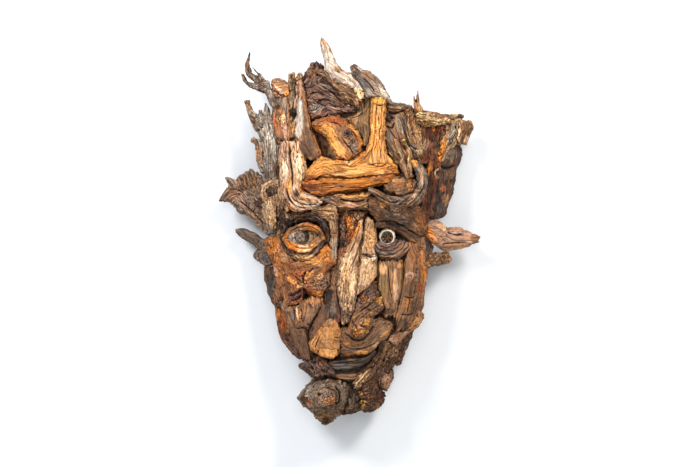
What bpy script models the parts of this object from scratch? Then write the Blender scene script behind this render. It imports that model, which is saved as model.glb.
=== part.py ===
"""A wall face put together from found driftwood, roots and bark.

Every piece of wood is a strand: a row of stations across its grain, each station running from one
edge of the piece to the other, lofted into a solid that lies on the face's own form. A forked piece
is several strands joined. The pieces are laid from the outermost inwards, and a piece is cut back
where one that was laid before lies in its place. Logs fill the space down to the wall.

The drawing's units are shares of the height: x to the right, z up, and "out" away from the wall,
which is the plane y = 0. The origin is at the middle of the back.
"""
import math

import bmesh
import bpy
from mathutils import Vector
from mathutils.bvhtree import BVHTree

HEIGHT = 0.600                 # from the tip of the chin to the tip of the white horn
GLUE_GAP = 0.0003              # kept between pieces that touch
CUTTER_SHARE = 1.5             # a cutter's corners move out by this many gaps, its faces by one
DRAWN_HEIGHT = 389.0           # the same height in units of the drawing
UNIT = HEIGHT / DRAWN_HEIGHT

# The form of the face: how far it stands out along its middle line, and its half width, by height.
PROFILE = ((-198, 46), (-185, 56), (-166, 68), (-142, 60), (-126, 65), (-106, 70), (-70, 66),
           (-30, 64), (2, 66), (30, 75), (60, 70), (90, 65), (125, 57), (160, 46), (196, 34))
HALF_WIDTH = ((-198, 40), (-166, 50), (-130, 60), (-100, 75), (-60, 86), (0, 92), (60, 100),
              (120, 104), (196, 74))
SIDE_FALL = 0.56               # how much of the profile is lost at the half width
SIDE_POWER = 2.2
LEAST_OUT = 0.30               # the least share of the profile, out past the sides
CHIN_SHIFT = -14.0             # the chin sits to one side of the middle line
CHIN_FROM = -60.0              # the height where that shift begins
CHIN_FULL = 110.0              # and how far below it the shift is whole
NOSE_HEIGHT = ((-114, 0), (-106, 8), (-97, 24), (-84, 26), (-60, 20), (-30, 14), (0, 7), (16, 0))
NOSE_LINE = ((-97, 8), (-60, 5), (-30, 6), (16, 12))
NOSE_SPREAD = ((-97, 21), (-30, 17), (16, 14))
SOCKET_DEPTH = 11.0
SOCKET_SIZE = (21.0, 13.0)
SOCKETS = ((-47.0, -6.0), (40.0, -7.0))
CHEEK_RISE = 5.0
CHEEK_SIZE = 24.0
CHEEKS = ((-54.0, -46.0), (58.0, -44.0))

SECTION = (0, 60, 120, 180, 270)              # corners of a section, in degrees: two edges, two
                                              # in front and one at the back
BROAD = (0, 45, 90, 135, 180, 240, 300)       # and of a broad piece
PLANK = 5.0                    # squareness of a sawn or split section, where 2 is round
SPLIT = 3.4                    # of a worn board
ROOT = 2.8                     # and of a root or twig
SLIMNESS = 1.25                # a section is at most this many times as deep as it is wide
TIP_DEPTH = 0.8
MERGE = 0.000002               # points nearer than this are one, in metres
BOX_MARGIN = 1.02              # room for rounding where a cut's loss is checked
LEAST_LEFT = 0.999             # and where what is left is compared with it
FLAT = math.radians(1.0)       # faces that turn less than this are one flat
SHARP = math.radians(40)       # and an edge that turns more is drawn sharp

BRANCH_CORNERS = 12
BRANCH_RINGS = ((1.04, None), (1.0, -1.2), (0.9, 0.0), (0.68, 0.0), (0.58, -1.6))

BED_DROP = 0.6                 # a log's front lies this far below the pieces it carries
BED_REACH = 7.0                # the least pieces are looked for within this distance
BED_STEPS = (-1.0, -0.5, 0.0, 0.5, 1.0)
BED_BELOW = -5.0               # that look starts this far behind the wall's plane
BED_LEAST = 9.0                # a log is at least this thick
BED_BARE = 0.45                # share of the form that a log fills where nothing lies on it
BED_END = 0.55                 # what its ends keep of their thickness
BED_EDGE = 0.7                 # and its outer edge
BED_UNDERCUT = 5.0             # its back is narrower by this on either side, so that no joint
                               # between two logs can be seen through

TONES = {
    "silver": ((0.30, 0.27, 0.25), 0.80),
    "bone": ((0.52, 0.43, 0.35), 0.75),
    "straw": ((0.50, 0.36, 0.20), 0.72),
    "amber": ((0.48, 0.22, 0.06), 0.60),
    "russet": ((0.30, 0.12, 0.05), 0.68),
    "tan": ((0.38, 0.23, 0.13), 0.75),
    "umber": ((0.13, 0.07, 0.045), 0.80),
    "slate": ((0.10, 0.08, 0.075), 0.80),
    "clay": ((0.34, 0.19, 0.12), 0.78),
}


def read_curve(curve, at):
    """Value at a height on a curve of (height, value) points, straight between them."""
    if at <= curve[0][0]:
        return curve[0][1]
    for (low, first), (high, last) in zip(curve, curve[1:]):
        if at <= high:
            return first + (last - first) * (at - low) / (high - low)
    return curve[-1][1]


def face_out(x, z):
    """How far the face's form stands out from the wall at a place of the drawing."""
    chin_share = min(1.0, max(0.0, (CHIN_FROM - z) / CHIN_FULL))
    off_middle = abs(x - CHIN_SHIFT * chin_share) / read_curve(HALF_WIDTH, z)
    out = read_curve(PROFILE, z) * max(LEAST_OUT, 1.0 - SIDE_FALL * off_middle ** SIDE_POWER)
    off_nose = (x - read_curve(NOSE_LINE, z)) / read_curve(NOSE_SPREAD, z)
    out += read_curve(NOSE_HEIGHT, z) * math.exp(-off_nose ** 2)
    for middle_x, middle_z in SOCKETS:
        away = ((x - middle_x) / SOCKET_SIZE[0]) ** 2 + ((z - middle_z) / SOCKET_SIZE[1]) ** 2
        out -= SOCKET_DEPTH * math.exp(-away)
    for middle_x, middle_z in CHEEKS:
        away = ((x - middle_x) ** 2 + (z - middle_z) ** 2) / CHEEK_SIZE ** 2
        out += CHEEK_RISE * math.exp(-away)
    return out


def place(x, out, z):
    """A place of the drawing in metres."""
    return Vector((x * UNIT, -out * UNIT, z * UNIT))


def rounded(value, square):
    """Side of a superellipse, from a circle's cosine or sine."""
    return math.copysign(abs(value) ** (2.0 / square), value)


def finish_mesh(bm, name):
    """Triangles that point outwards, as an object in the parts' collection."""
    bmesh.ops.triangulate(bm, faces=bm.faces[:])
    bmesh.ops.recalc_face_normals(bm, faces=bm.faces[:])
    mesh = bpy.data.meshes.new(name)
    bm.to_mesh(mesh)
    bm.free()
    made = bpy.data.objects.new(name, mesh)
    pieces.objects.link(made)
    return made


def strand(*stations, thick=12.0, lift=0.0, camber=1.0, square=PLANK, section=SECTION):
    """Loft through stations (x1, z1, x2, z2, rise), from one edge of the piece to the other."""
    bm = bmesh.new()
    rings = []
    for station in stations:
        x1, z1, x2, z2 = station[:4]
        rise = lift + (station[4] if len(station) > 4 else 0.0)
        depth = min(thick, SLIMNESS * math.hypot(x2 - x1, z2 - z1) + TIP_DEPTH)
        first = face_out(x1, z1)
        middle = face_out((x1 + x2) / 2, (z1 + z2) / 2)
        last = face_out(x2, z2)
        ring = []
        for degrees in section:
            across = rounded(math.cos(math.radians(degrees)), square)
            over = rounded(math.sin(math.radians(degrees)), square)
            bend = middle + (last - first) / 2 * across + ((first + last) / 2 - middle) * across ** 2
            out = bend + rise + camber * (1 - across ** 2) + (over - 1) * depth / 2
            share = (across + 1) / 2
            ring.append(bm.verts.new(place(x1 + (x2 - x1) * share, out, z1 + (z2 - z1) * share)))
        rings.append(ring)
    for ring, following in zip(rings, rings[1:]):
        for corner in range(len(section)):
            after = (corner + 1) % len(section)
            bm.faces.new((ring[corner], ring[after], following[after], following[corner]))
    bm.faces.new(rings[0][::-1])
    bm.faces.new(rings[-1])
    return finish_mesh(bm, "strand")


def knob(x, z, radius_x, radius_z, depth, lift=0.0):
    """A rounded lump whose front stands at the form plus its lift."""
    bm = bmesh.new()
    bmesh.ops.create_uvsphere(bm, u_segments=8, v_segments=6, radius=1.0)
    middle = place(x, face_out(x, z) + lift - depth / 2, z)
    for vert in bm.verts:
        off = (vert.co.x * radius_x, vert.co.y * depth / 2, vert.co.z * radius_z)
        vert.co = middle + Vector(off) * UNIT
    return finish_mesh(bm, "knob")


def carve(target, tool, operation):
    """Join or cut two objects and keep the result in the first.

    The exact solver loses a piece now and then, so a result that isn't closed, or that has lost
    more than the two pieces' boxes share, is made again with the manifold solver.
    """
    modifier = target.modifiers.new("Carve", "BOOLEAN")
    modifier.operation = operation
    modifier.object = tool
    most_lost = shared_box(target, tool) if operation == "DIFFERENCE" else 0.0
    least_left = solid_volume(target.data)[0] - most_lost * BOX_MARGIN
    for solver in ("EXACT", "MANIFOLD"):
        modifier.solver = solver
        bpy.context.view_layer.update()
        evaluated = target.evaluated_get(bpy.context.evaluated_depsgraph_get())
        result = bpy.data.meshes.new_from_object(evaluated)
        volume, closed = solid_volume(result)
        if closed and volume > least_left * LEAST_LEFT:
            break
    target.modifiers.remove(modifier)
    target.data = result
    keep_largest(target)


def solid_volume(mesh):
    """Volume inside a mesh, and whether the mesh is closed."""
    bm = bmesh.new()
    bm.from_mesh(mesh)
    volume = bm.calc_volume(signed=True)
    closed = bool(bm.faces) and all(len(edge.link_faces) == 2 for edge in bm.edges)
    bm.free()
    return volume, closed


def shared_box(first, second):
    """Volume of the box that two objects' boxes share."""
    shared = 1.0
    for axis in range(3):
        low = max(min(corner[axis] for corner in thing.bound_box) for thing in (first, second))
        high = min(max(corner[axis] for corner in thing.bound_box) for thing in (first, second))
        shared *= max(0.0, high - low)
    return shared


def keep_largest(target):
    """Join the flats of a cut's result, and drop the loose slivers that the cut leaves.

    The flats stay as the solver left them where joining would open the surface.
    """
    for joining in (True, False):
        bm = bmesh.new()
        bm.from_mesh(target.data)
        if joining:
            bmesh.ops.remove_doubles(bm, verts=bm.verts[:], dist=MERGE)
            bmesh.ops.dissolve_degenerate(bm, edges=bm.edges[:], dist=MERGE)
            bmesh.ops.dissolve_limit(bm, verts=bm.verts[:], edges=bm.edges[:], angle_limit=FLAT)
        bmesh.ops.triangulate(bm, faces=bm.faces[:])
        if all(len(edge.link_faces) == 2 for edge in bm.edges):
            break
    left = set(bm.faces)
    islands = []
    while left:
        island = []
        front = [left.pop()]
        while front:
            face = front.pop()
            island.append(face)
            for edge in face.edges:
                for neighbour in edge.link_faces:
                    if neighbour in left:
                        left.remove(neighbour)
                        front.append(neighbour)
        islands.append(island)
    islands.sort(key=lambda faces: -abs(sum(island_volume(face) for face in faces)))
    for island in islands[1:]:
        bmesh.ops.delete(bm, geom=island, context="FACES")
    bm.to_mesh(target.data)
    bm.free()


def island_volume(face):
    """Signed volume under a triangle, as seen from the origin."""
    first, second, third = (vert.co for vert in face.verts)
    return first.dot(second.cross(third)) / 6


def surface_tree(target):
    """Search tree of an object's surface."""
    bm = bmesh.new()
    bm.from_mesh(target.data)
    tree = BVHTree.FromBMesh(bm)
    bm.free()
    return tree


def grown_cutter(target):
    """A copy of a piece before it is cut, larger all round by the gap."""
    bm = bmesh.new()
    bm.from_mesh(target.data)
    bm.normal_update()
    for vert in bm.verts:
        vert.co += vert.normal * GLUE_GAP * CUTTER_SHARE
    mesh = bpy.data.meshes.new("cutter")
    bm.to_mesh(mesh)
    bm.free()
    cutter = bpy.data.objects.new("cutter", mesh)
    cutter.hide_render = True
    cutter.display_type = "WIRE"
    cutters.objects.link(cutter)
    return cutter, surface_tree(cutter)


def lay(name, tone, *strands):
    """Join a piece's strands, cut it back where laid pieces are, and give it its wood."""
    piece = strands[0]
    for other in strands[1:]:
        carve(piece, other, "UNION")
        bpy.data.objects.remove(other)
    whole = grown_cutter(piece)
    for cutter, tree in laid:
        if surface_tree(piece).overlap(tree):
            carve(piece, cutter, "DIFFERENCE")
    laid.append(whole)
    piece.name = name
    piece.data.name = name
    piece.data.materials.clear()
    piece.data.materials.append(wood(name, tone))
    piece.data.shade_smooth()
    piece.data.set_sharp_from_angle(angle=SHARP)
    surfaces.append(surface_tree(piece))
    return piece


def wood(name, tone):
    """A piece's own wood: its colour and roughness on a Principled shader."""
    colour, roughness = TONES[tone]
    material = bpy.data.materials.new(name)
    material.use_nodes = True
    shader = material.node_tree.nodes["Principled BSDF"]
    shader.inputs["Base Color"].default_value = (*colour, 1.0)
    shader.inputs["Roughness"].default_value = roughness
    shader.inputs["Metallic"].default_value = 0.0
    material.diffuse_color = (*colour, 1.0)
    return material


def underside(x, z, reach):
    """The lowest back of the laid pieces within reach of a place, or None where there is none."""
    lowest = None
    for step_x in BED_STEPS:
        for step_z in BED_STEPS:
            start = place(x + step_x * reach, BED_BELOW, z + step_z * reach)
            for tree in surfaces:
                hit = tree.ray_cast(start, Vector((0.0, -1.0, 0.0)))[0]
                if hit is not None:
                    out = -hit.y / UNIT
                    lowest = out if lowest is None else min(lowest, out)
    return lowest


def log(name, tone, stations, columns=5, edge=None):
    """A rough log on the wall, whose front reaches up to the pieces it carries.

    A station is (x1, z1, x2, z2), as on a strand. The back is flat against the wall, and the edge
    is the column at the outside of the face, which is thinner.
    """
    bm = bmesh.new()
    fronts = []
    backs = []
    for row, (x1, z1, x2, z2) in enumerate(stations):
        front = []
        back = []
        for column in range(columns):
            share = column / (columns - 1)
            x = x1 + (x2 - x1) * share
            z = z1 + (z2 - z1) * share
            inwards = BED_UNDERCUT * (1 - 2 * share)
            over = underside(x, z, BED_REACH)
            out = face_out(x, z) * BED_BARE if over is None else over - BED_DROP
            if row in (0, len(stations) - 1):
                out *= BED_END
            elif column == edge:
                out *= BED_EDGE
            front.append(bm.verts.new(place(x, max(BED_LEAST, out), z)))
            back.append(bm.verts.new(place(x + inwards, 0.0, z)))
        fronts.append(front)
        backs.append(back)
    for row in range(len(stations) - 1):
        for column in range(columns - 1):
            bm.faces.new((fronts[row][column], fronts[row][column + 1],
                          fronts[row + 1][column + 1], fronts[row + 1][column]))
            bm.faces.new((backs[row][column + 1], backs[row][column],
                          backs[row + 1][column], backs[row + 1][column + 1]))
        for column in (0, columns - 1):
            bm.faces.new((fronts[row][column], fronts[row + 1][column],
                          backs[row + 1][column], backs[row][column]))
    for row in (0, len(stations) - 1):
        for column in range(columns - 1):
            bm.faces.new((fronts[row][column], fronts[row][column + 1],
                          backs[row][column + 1], backs[row][column]))
    return lay(name, tone, finish_mesh(bm, "log"))


def nose():
    lay("nose_plates", "straw",
        strand((16, 13, 22, 12), (14, 2, 26, 2), (12.5, -12, 26.5, -12), (10, -22, 26, -22),
               (10, -28.5, 27, -29), (9, -38, 27, -38), (8, -47, 26, -46), (7, -54, 19, -56),
               (6, -65, 10, -63), thick=11, lift=2.0))
    lay("nose_board", "clay",
        strand((10, 10, 14, 12, -2), (2, -7, 13, -8), (-4, -18, 10, -20), (-9, -30, 9, -31),
               (-12, -42, 9, -43), (-14, -54, 8, -56), (-12, -66, 6, -67), (-9, -79, 2.5, -79),
               (-8, -93, 0, -92, -3), thick=15, lift=3.0, camber=2.0),
        strand((-11, -18, -2, -17), (-15.5, -33, -5, -33), (-19.5, -46, -8, -46), (-21, -57, -10, -60),
               thick=14, lift=-1.0, camber=1.5))
    lay("nose_wing", "umber",
        strand((21, -49, 28, -50, -2), (15, -56, 30, -60, -1), (8, -64, 37.5, -69), (3, -76, 36, -79),
               (0.5, -88, 25, -85, 1), (-2, -97, 17.5, -97, 2), (2, -105.5, 12, -105.5, 1),
               thick=26, lift=0.0, camber=3.0, square=SPLIT, section=BROAD))


def left_eye():
    lay("eyelids_left", "amber",
        strand((-67, -8, -65, -10), (-61, 1.5, -57.5, -3.5), (-52, 7.5, -50, 1.5, 1), (-43, 9, -42, 2, 2),
               (-34, 6.5, -35, 0, 1), (-27, -3, -30, -6), (-25, -9, -28, -9.5),
               thick=9, lift=7.0, square=ROOT),
        strand((-67.5, -8.5, -64.5, -8), (-61, -18, -57, -12.5), (-52, -22, -50, -15.5, 1),
               (-42, -22, -42, -14.5, 1), (-33, -16.5, -36, -10), (-26, -9, -30, -6.5),
               thick=9, lift=6.0, square=ROOT))
    lay("eyeball_left", "silver",
        knob(-46, -6.5, 17, 10.5, 16, lift=10.0), knob(-47.5, -5.5, 6.8, 6.5, 12, lift=12.0))
    lay("eye_socket_left", "slate",
        strand((-69, -2, -64, -4), (-66, 11, -59, 3), (-56, 18, -52, 8), (-44, 19, -43, 9.5),
               (-32, 17, -33, 7), (-23, 9, -28, 2), (-19, -2, -25, -4), (-20, -13, -26, -10),
               thick=13, lift=2.0, square=SPLIT),
        strand((-70, -6, -65, -5), (-68, -20, -61, -14), (-60, -30, -56, -20), (-50, -33.5, -50, -22),
               (-40, -31, -41, -21), (-31, -23, -34, -15), (-22, -10, -27, -6),
               thick=12, lift=2.5, square=ROOT))


def right_eye():
    lay("eye_branch_right", "silver", branch_end(37.0, -7.0, 8.2, 16.0, 9.0))
    lay("eye_bag_right", "slate",
        strand((25, -21, 26, -13), (31, -30, 31, -9), (39, -31.5, 39, -6), (47, -30, 47, -7),
               (54, -26, 54, -8), (59, -20, 58, -12), thick=17, lift=3.0, camber=2.5, square=SPLIT))
    lay("brow_right", "tan",
        strand((19, 19, 19, 33), (27, 8, 28, 31), (37, 3, 38, 29), (47, 1, 48, 28), (57, -5, 57, 28),
               (65, -9, 66, 29), (71, -7, 71, 24), (77, -4, 76, 4), thick=20, lift=4.0, camber=2.0,
               section=BROAD),
        strand((25, 2, 26, 8), (37, 1.5, 38, 8), (48, -3, 50, 5), (57, -10, 61, 0), (66, -15, 69, -6),
               thick=12, lift=6.0, square=ROOT))


def branch_end(x, z, radius, length, lift):
    """A short branch that points out of the wall, with its pith set back in the cut end."""
    bm = bmesh.new()
    rim = face_out(x, z) + lift
    rings = []
    for share, back in BRANCH_RINGS:
        ring = []
        out = rim - length if back is None else rim + back
        for corner in range(BRANCH_CORNERS):
            angle = 2 * math.pi * corner / BRANCH_CORNERS
            ring.append(bm.verts.new(place(x + radius * share * math.cos(angle), out,
                                           z + radius * share * math.sin(angle))))
        rings.append(ring)
    for ring, following in zip(rings, rings[1:]):
        for corner in range(BRANCH_CORNERS):
            after = (corner + 1) % BRANCH_CORNERS
            bm.faces.new((ring[corner], ring[after], following[after], following[corner]))
    bm.faces.new(rings[0])
    bm.faces.new(rings[-1])
    return finish_mesh(bm, "branch_end")


def forehead():
    lay("temple_root_hook", "tan",
        strand((60, 69, 70, 67, -2), (66, 58, 75.5, 59), (68, 48, 77, 47), (65.5, 41, 75, 38),
               (59, 35.5, 69, 30), (50, 32, 60, 23), (41, 33.5, 47, 17), (32, 37, 36, 27),
               (25, 40, 26, 35), (18, 42, 19, 39), thick=13, lift=9.0, camber=2.0, square=ROOT))
    lay("forehead_post", "amber",
        strand((10, 64, 40, 66, -2), (17, 84, 36, 80), (20, 95, 34.5, 94, 1), (21, 110, 35, 108, 2),
               (22, 124, 36, 123, 3), (23, 134, 37, 132, 3), thick=17, lift=6.0, camber=2.0),
        strand((-46, 46, -45, 55, -3), (-37, 49, -37, 66), (-28, 51, -29, 74), (-16, 52, -17, 69),
               (0, 49.5, 0, 68.5), (14, 51, 12, 77), (28, 51, 30, 84), (40, 54, 41, 70),
               (50, 55, 48, 60, -2),
               thick=17, lift=6.0, camber=2.0))
    lay("forehead_plank", "russet",
        strand((-49, 42, -47, 47, -2), (-38, 35, -37, 50), (-27, 33, -26, 53), (-14, 36.5, -14, 52),
               (2, 38, 2, 52), (20, 42, 20, 53), (38, 47, 36, 54), (46, 51, 45, 56, -2),
               thick=17, lift=4.0, camber=2.0))
    lay("brow_bracket", "silver",
        strand((-40, 17, -39, 20), (-32, 14, -31, 22), (-22, 10, -21, 25), (-13.5, 10, -13, 23),
               thick=9, lift=3.0),
        strand((-20, 14, -12, 16), (-19.5, 4, -12, 4), (-19.5, -8, -12, -8), (-19, -20, -12, -20),
               (-18, -29, -12.5, -28), thick=9, lift=2.5))
    lay("brow_strip_centre", "tan",
        strand((-34, 27, -33, 30, -2), (-23, 25, -22, 34), (-13, 20, -13, 37), (0, 20.5, 0, 36),
               (12, 20.5, 12, 37), (20, 21, 20, 37.5), thick=14, lift=1.5))
    lay("nose_bridge", "russet",
        strand((-12, 19, 18, 19, -3), (-12.5, 8, 14, 9), (-12, -4, 8, -2), (-12, -14, 0, -13),
               (-11, -22, -4, -22, -1), thick=16, lift=-1.0))
    lay("temple_lens_knot", "umber",
        strand((33, 39, 34, 45), (42, 33, 42, 53), (52, 31, 51, 56), (60, 35, 60, 55), (67, 42, 65, 50),
               thick=14, lift=3.0, camber=2.5, square=ROOT))


def left_temple():
    lay("temple_root_pale", "bone",
        strand((-71, 89, -48, 87, -4), (-73, 71, -43.5, 71), (-71.5, 56, -42.5, 58), (-69, 43, -47.5, 46),
               (-67, 31, -46, 38), (-60, 21, -42, 36), (-49, 17, -36, 34.5), (-38, 20, -30.5, 31),
               (-29, 25, -27, 28), thick=17, lift=8.0, camber=3.0, square=SPLIT))
    lay("temple_hook", "straw",
        strand((-71, 41, -72, 50), (-80, 42.5, -80, 48.5), (-84, 39, -87.5, 44), (-84, 36, -89.5, 36),
               (-82, 31, -87, 29), thick=7, lift=6.0, square=ROOT),
        strand((-86, 32, -71, 34), (-87.5, 20, -71.5, 22), (-86, 12, -72, 11), (-82, 3, -74, 4),
               (-81, -3, -77, -3), thick=9, lift=5.0),
        strand((-78, 33, -64, 31), (-74, 22, -60, 21, -2), (-74, 10, -60, 11, -3), (-74, 0, -65, 0, -3),
               (-73, -9, -67, -9, -4), thick=10, lift=4.0))
    lay("temple_panel", "silver",
        strand((-51, 149, -48, 149), (-52, 131, -45, 131), (-53.5, 115, -41.5, 115), (-57, 100, -38, 100),
               (-57, 88, -33, 88), (-51, 77, -29, 77), (-40, 70, -31, 71, -3), thick=13, lift=5.0))


def crown_middle():
    lay("crown_wing_grey", "silver",
        strand((0, 161, 4.5, 166), (3, 156.5, 11, 161), (7, 147, 20, 159), (11, 140, 28, 151.5),
               (16, 132, 35, 142.5), (26, 132.5, 39.5, 134.5), (36, 130, 42, 125),
               thick=12, lift=9.0, camber=3.0, square=SPLIT))
    lay("crown_horn_white", "bone",
        strand((8, 130, 16, 131), (1, 140, 10, 145), (-8, 145, 2, 158, 2), (-15, 150, -9, 161, 4),
               (-21.5, 160, -14, 167, 5), (-26, 170, -18, 175, 6), (-29, 179, -20, 183.5, 6),
               (-30, 187, -24, 190.5, 5), (-28.5, 193.5, -26.5, 193, 4), thick=12, lift=6.0, square=ROOT))
    lay("crown_plank_tan", "tan",
        strand((-33, 156, -31, 160.5), (-25, 152, -21, 156.5), (-12, 139, -7, 147), (-2, 128, 5, 140),
               (8, 122, 14, 132), thick=12, lift=5.0))
    lay("crown_block_knotted", "amber",
        strand((-39, 102, -37, 108), (-30, 97, -26, 112), (-23, 91, -11, 116), (-18, 79, -2, 109),
               (-13, 71, 9, 99), (-4, 67, 14, 87), (4, 72, 12, 78), thick=24, lift=4.0, camber=6.0,
               square=SPLIT, section=BROAD))
    lay("crown_sheet_olive", "umber",
        strand((9, 139, 24, 137), (9, 119, 24, 118), (-4, 111, 24, 107), (5, 102, 23, 97),
               (12, 92, 21, 91), (13, 84, 17, 83), thick=12, lift=0.0, camber=-1.0, square=SPLIT))
    lay("crown_block_dark", "umber",
        strand((-47, 151, -38, 168), (-46, 137, -28, 165), (-43, 123, -21, 150), (-39, 110, -11, 139),
               (-22, 113, -1, 128), (-8, 116, 7, 123), (8, 119, 11, 122), thick=22, lift=0.0,
               camber=3.0, section=BROAD))


def crown_left():
    lay("crown_stick_split", "umber",
        strand((-61.5, 144, -47.5, 145), (-61, 126, -49, 126), (-61, 108, -50, 108), (-60, 92, -52, 92),
               thick=15, lift=4.0, square=SPLIT),
        strand((-61.5, 140, -54.5, 140), (-61, 150, -55, 150), (-60.5, 157.5, -57, 158), thick=9, lift=5.0),
        strand((-54, 140, -47, 140), (-53, 150, -47, 149), (-51, 158, -48, 156), thick=9, lift=2.0))
    lay("crown_root_fork", "slate",
        strand((-79, 122, -69, 125, 2), (-84, 134, -75.5, 134, 4), (-88, 143, -81, 147, 6),
               (-96, 148, -90, 152.5, 7), (-104.5, 156, -98, 158, 8), (-106.5, 166, -101, 166, 8),
               (-103.5, 173, -100.5, 173, 7), (-101.5, 179.5, -100, 179, 6), thick=9, lift=6.0,
               square=ROOT),
        strand((-83, 136, -82, 146, 6), (-95, 140, -94, 147, 7), (-101, 143.5, -103, 149.5, 6),
               (-108, 150, -104, 153.5, 5), (-109.5, 157, -107.5, 157.5, 4), thick=8, lift=5.0,
               square=ROOT),
        strand((-91, 148, -85, 150, 8), (-94.5, 158, -91.5, 157, 9), (-98.8, 164.5, -97.3, 163.5, 9),
               thick=5, lift=7.0, square=ROOT))
    lay("temple_root_silver", "silver",
        strand((-93, 113, -78, 113), (-94, 100, -74, 98), (-89.5, 88, -70, 86), (-88.5, 72, -71, 73),
               (-87, 43, -69, 43), (-84, 33, -72, 33, -3), thick=15, lift=6.0, square=ROOT),
        strand((-95, 99, -86, 108), (-101, 111, -93, 115), (-104.5, 121, -98, 121.5),
               (-107, 130, -101.5, 131), thick=8, lift=5.0, square=ROOT),
        strand((-87, 111, -79, 110), (-87.5, 120, -80.5, 119), (-86.5, 127.5, -84.5, 127.5),
               thick=7, lift=5.0, square=ROOT),
        strand((-94, 106, -86, 109), (-92, 121, -89.5, 121), thick=6, lift=4.0, square=ROOT),
        strand((-100, 91, -97, 93.5), (-95.5, 83, -87, 88), (-94.5, 74, -87, 75), (-90, 57, -84, 58),
               thick=8, lift=3.0, square=ROOT))
    lay("temple_bark_rust", "russet",
        strand((-79, 133, -78, 149), (-70, 132, -70, 151), (-61, 134, -61, 148), thick=9, lift=3.0),
        strand((-76, 138, -62, 139), (-77, 126, -60, 127), (-79, 113, -57, 112), (-79, 101, -56, 100),
               (-73, 84, -59, 84), thick=16, lift=1.0))


def crown_right():
    lay("temple_strips_tan", "tan",
        strand((43, 91, 48, 90), (45, 82, 50.5, 82), (48.5, 74, 54.5, 74), (49, 66, 54.5, 66),
               (52, 58, 58, 59), (55, 50, 61, 52), thick=9, lift=8.0, square=ROOT),
        strand((50, 91, 55, 90), (54, 82, 60, 81), (57, 75, 63, 74.5), (55.5, 68, 61.5, 67.5),
               (57, 52, 64, 52), thick=9, lift=6.0, square=ROOT))
    lay("crown_block_brown", "umber",
        strand((34, 127, 62, 125.5), (33, 117, 70, 119), (33, 90, 74, 89), (36, 79, 76, 78),
               (42, 66, 72, 64, -3), thick=26, lift=3.0, camber=2.0, section=BROAD))
    lay("side_plank_orange", "clay",
        strand((96, 110, 111, 113), (94, 97, 110.5, 100), (90, 86, 106, 88), (87.5, 76, 98, 79),
               (88, 67, 92, 69, -4), thick=13, lift=6.0),
        strand((108, 111, 121, 110.5, 2), (107, 100, 124.5, 104, 2), (106, 91, 120, 96, 1),
               (109, 85.5, 117, 86), thick=18, lift=7.0))
    lay("crown_log_tan", "tan",
        strand((67, 107, 66, 118), (76, 104, 76, 119.5), (88, 105, 88, 116.5), (99, 107, 99, 115.5),
               (109, 109.5, 110, 117), (113, 112, 115.5, 115.5), thick=14, lift=8.0, square=ROOT))
    lay("crown_twig_fork", "russet",
        strand((64, 117, 74, 118), (64.5, 126, 73, 125, 1), (66.5, 132, 71, 131.5, 1),
               (67.3, 140, 68.8, 139.5, 1), thick=7, lift=4.0, square=ROOT),
        strand((63.5, 119, 69, 120), (63.5, 128, 66, 128), (63.5, 134.5, 64.5, 134.5), thick=5, lift=4.0,
               square=ROOT),
        strand((66, 121, 92, 117), (68, 104, 97, 103), (70, 80, 92, 81), (70, 66, 84, 67),
               thick=14, lift=0.0))
    lay("side_strips", "russet",
        strand((88, 104, 92.5, 103), (83, 92, 88, 90), (79, 80, 83.5, 78.5), (78, 66, 92, 67),
               (76, 54, 89, 55), (71.5, 28, 83, 28), (69, 16, 80, 17), (66, 10, 77, 4),
               thick=13, lift=4.0))
    lay("side_slab_dark", "umber",
        strand((96, 103, 108, 101), (90, 80, 111, 82), (86, 70, 109.5, 70), (82, 57, 107, 57),
               (80, 30, 99, 29), (78, 19, 97, 17), (80, 11, 89, 11), thick=15, lift=-3.0))


def ears():
    lay("ear_right_spike", "clay",
        strand((71, -3, 75, 10, -3), (86, -14.5, 88, 8, 3), (96, -20.5, 98, 1.5, 4),
               (108, -19, 110, 1.5, 5), (119, -16, 120, -2.5, 5), (130, -11, 130, -6.5, 4), thick=15, lift=3.0, camber=3.0,
               square=ROOT))
    lay("ear_right_lower", "tan",
        strand((75, -39, 74, -24), (84, -36, 83, -23), (100, -33.5, 98, -22.5), (102.5, -31, 101, -28),
               thick=10, lift=1.0),
        strand((72, -5, 78, -6), (73, -17, 84.5, -17), (73, -28, 81, -27), thick=12, lift=-1.0))
    lay("ear_left_leaf", "tan",
        strand((-80, -9, -82, 38), (-94, 6, -95, 40), (-103, 17, -104, 45), (-112, 27, -113, 50, 1),
               (-120, 29.5, -120.5, 47, 2), (-128, 28.5, -125.5, 39, 3), (-132.5, 28.5, -130.5, 32, 3),
               thick=9, lift=2.0, camber=2.0, square=SPLIT),
        strand((-122, 40, -112, 48, 1), (-124, 48, -118, 51, 2), (-126, 53, -124, 52.5, 3),
               thick=6, lift=2.0))
    lay("ear_left_fin", "russet",
        strand((-112.5, 50, -111.5, 53), (-105, 42, -106, 57), (-98, 36, -99.5, 62), (-92, 34, -92.5, 56),
               (-86, 36, -86, 53), thick=9, lift=-4.0))
    lay("ear_left_blade", "slate",
        strand((-115.5, -2, -115, 1), (-108, -9, -108, 1.5), (-99, -15, -98, -2), (-92, -22, -90, -7),
               (-82, -25, -82, -10), thick=9, lift=-3.0, square=SPLIT),
        strand((-98, -27, -96, -22), (-91, -32, -91, -18), (-84, -37.5, -83, -18), (-76, -35, -76, -24),
               thick=10, lift=-2.0, square=SPLIT))


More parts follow.
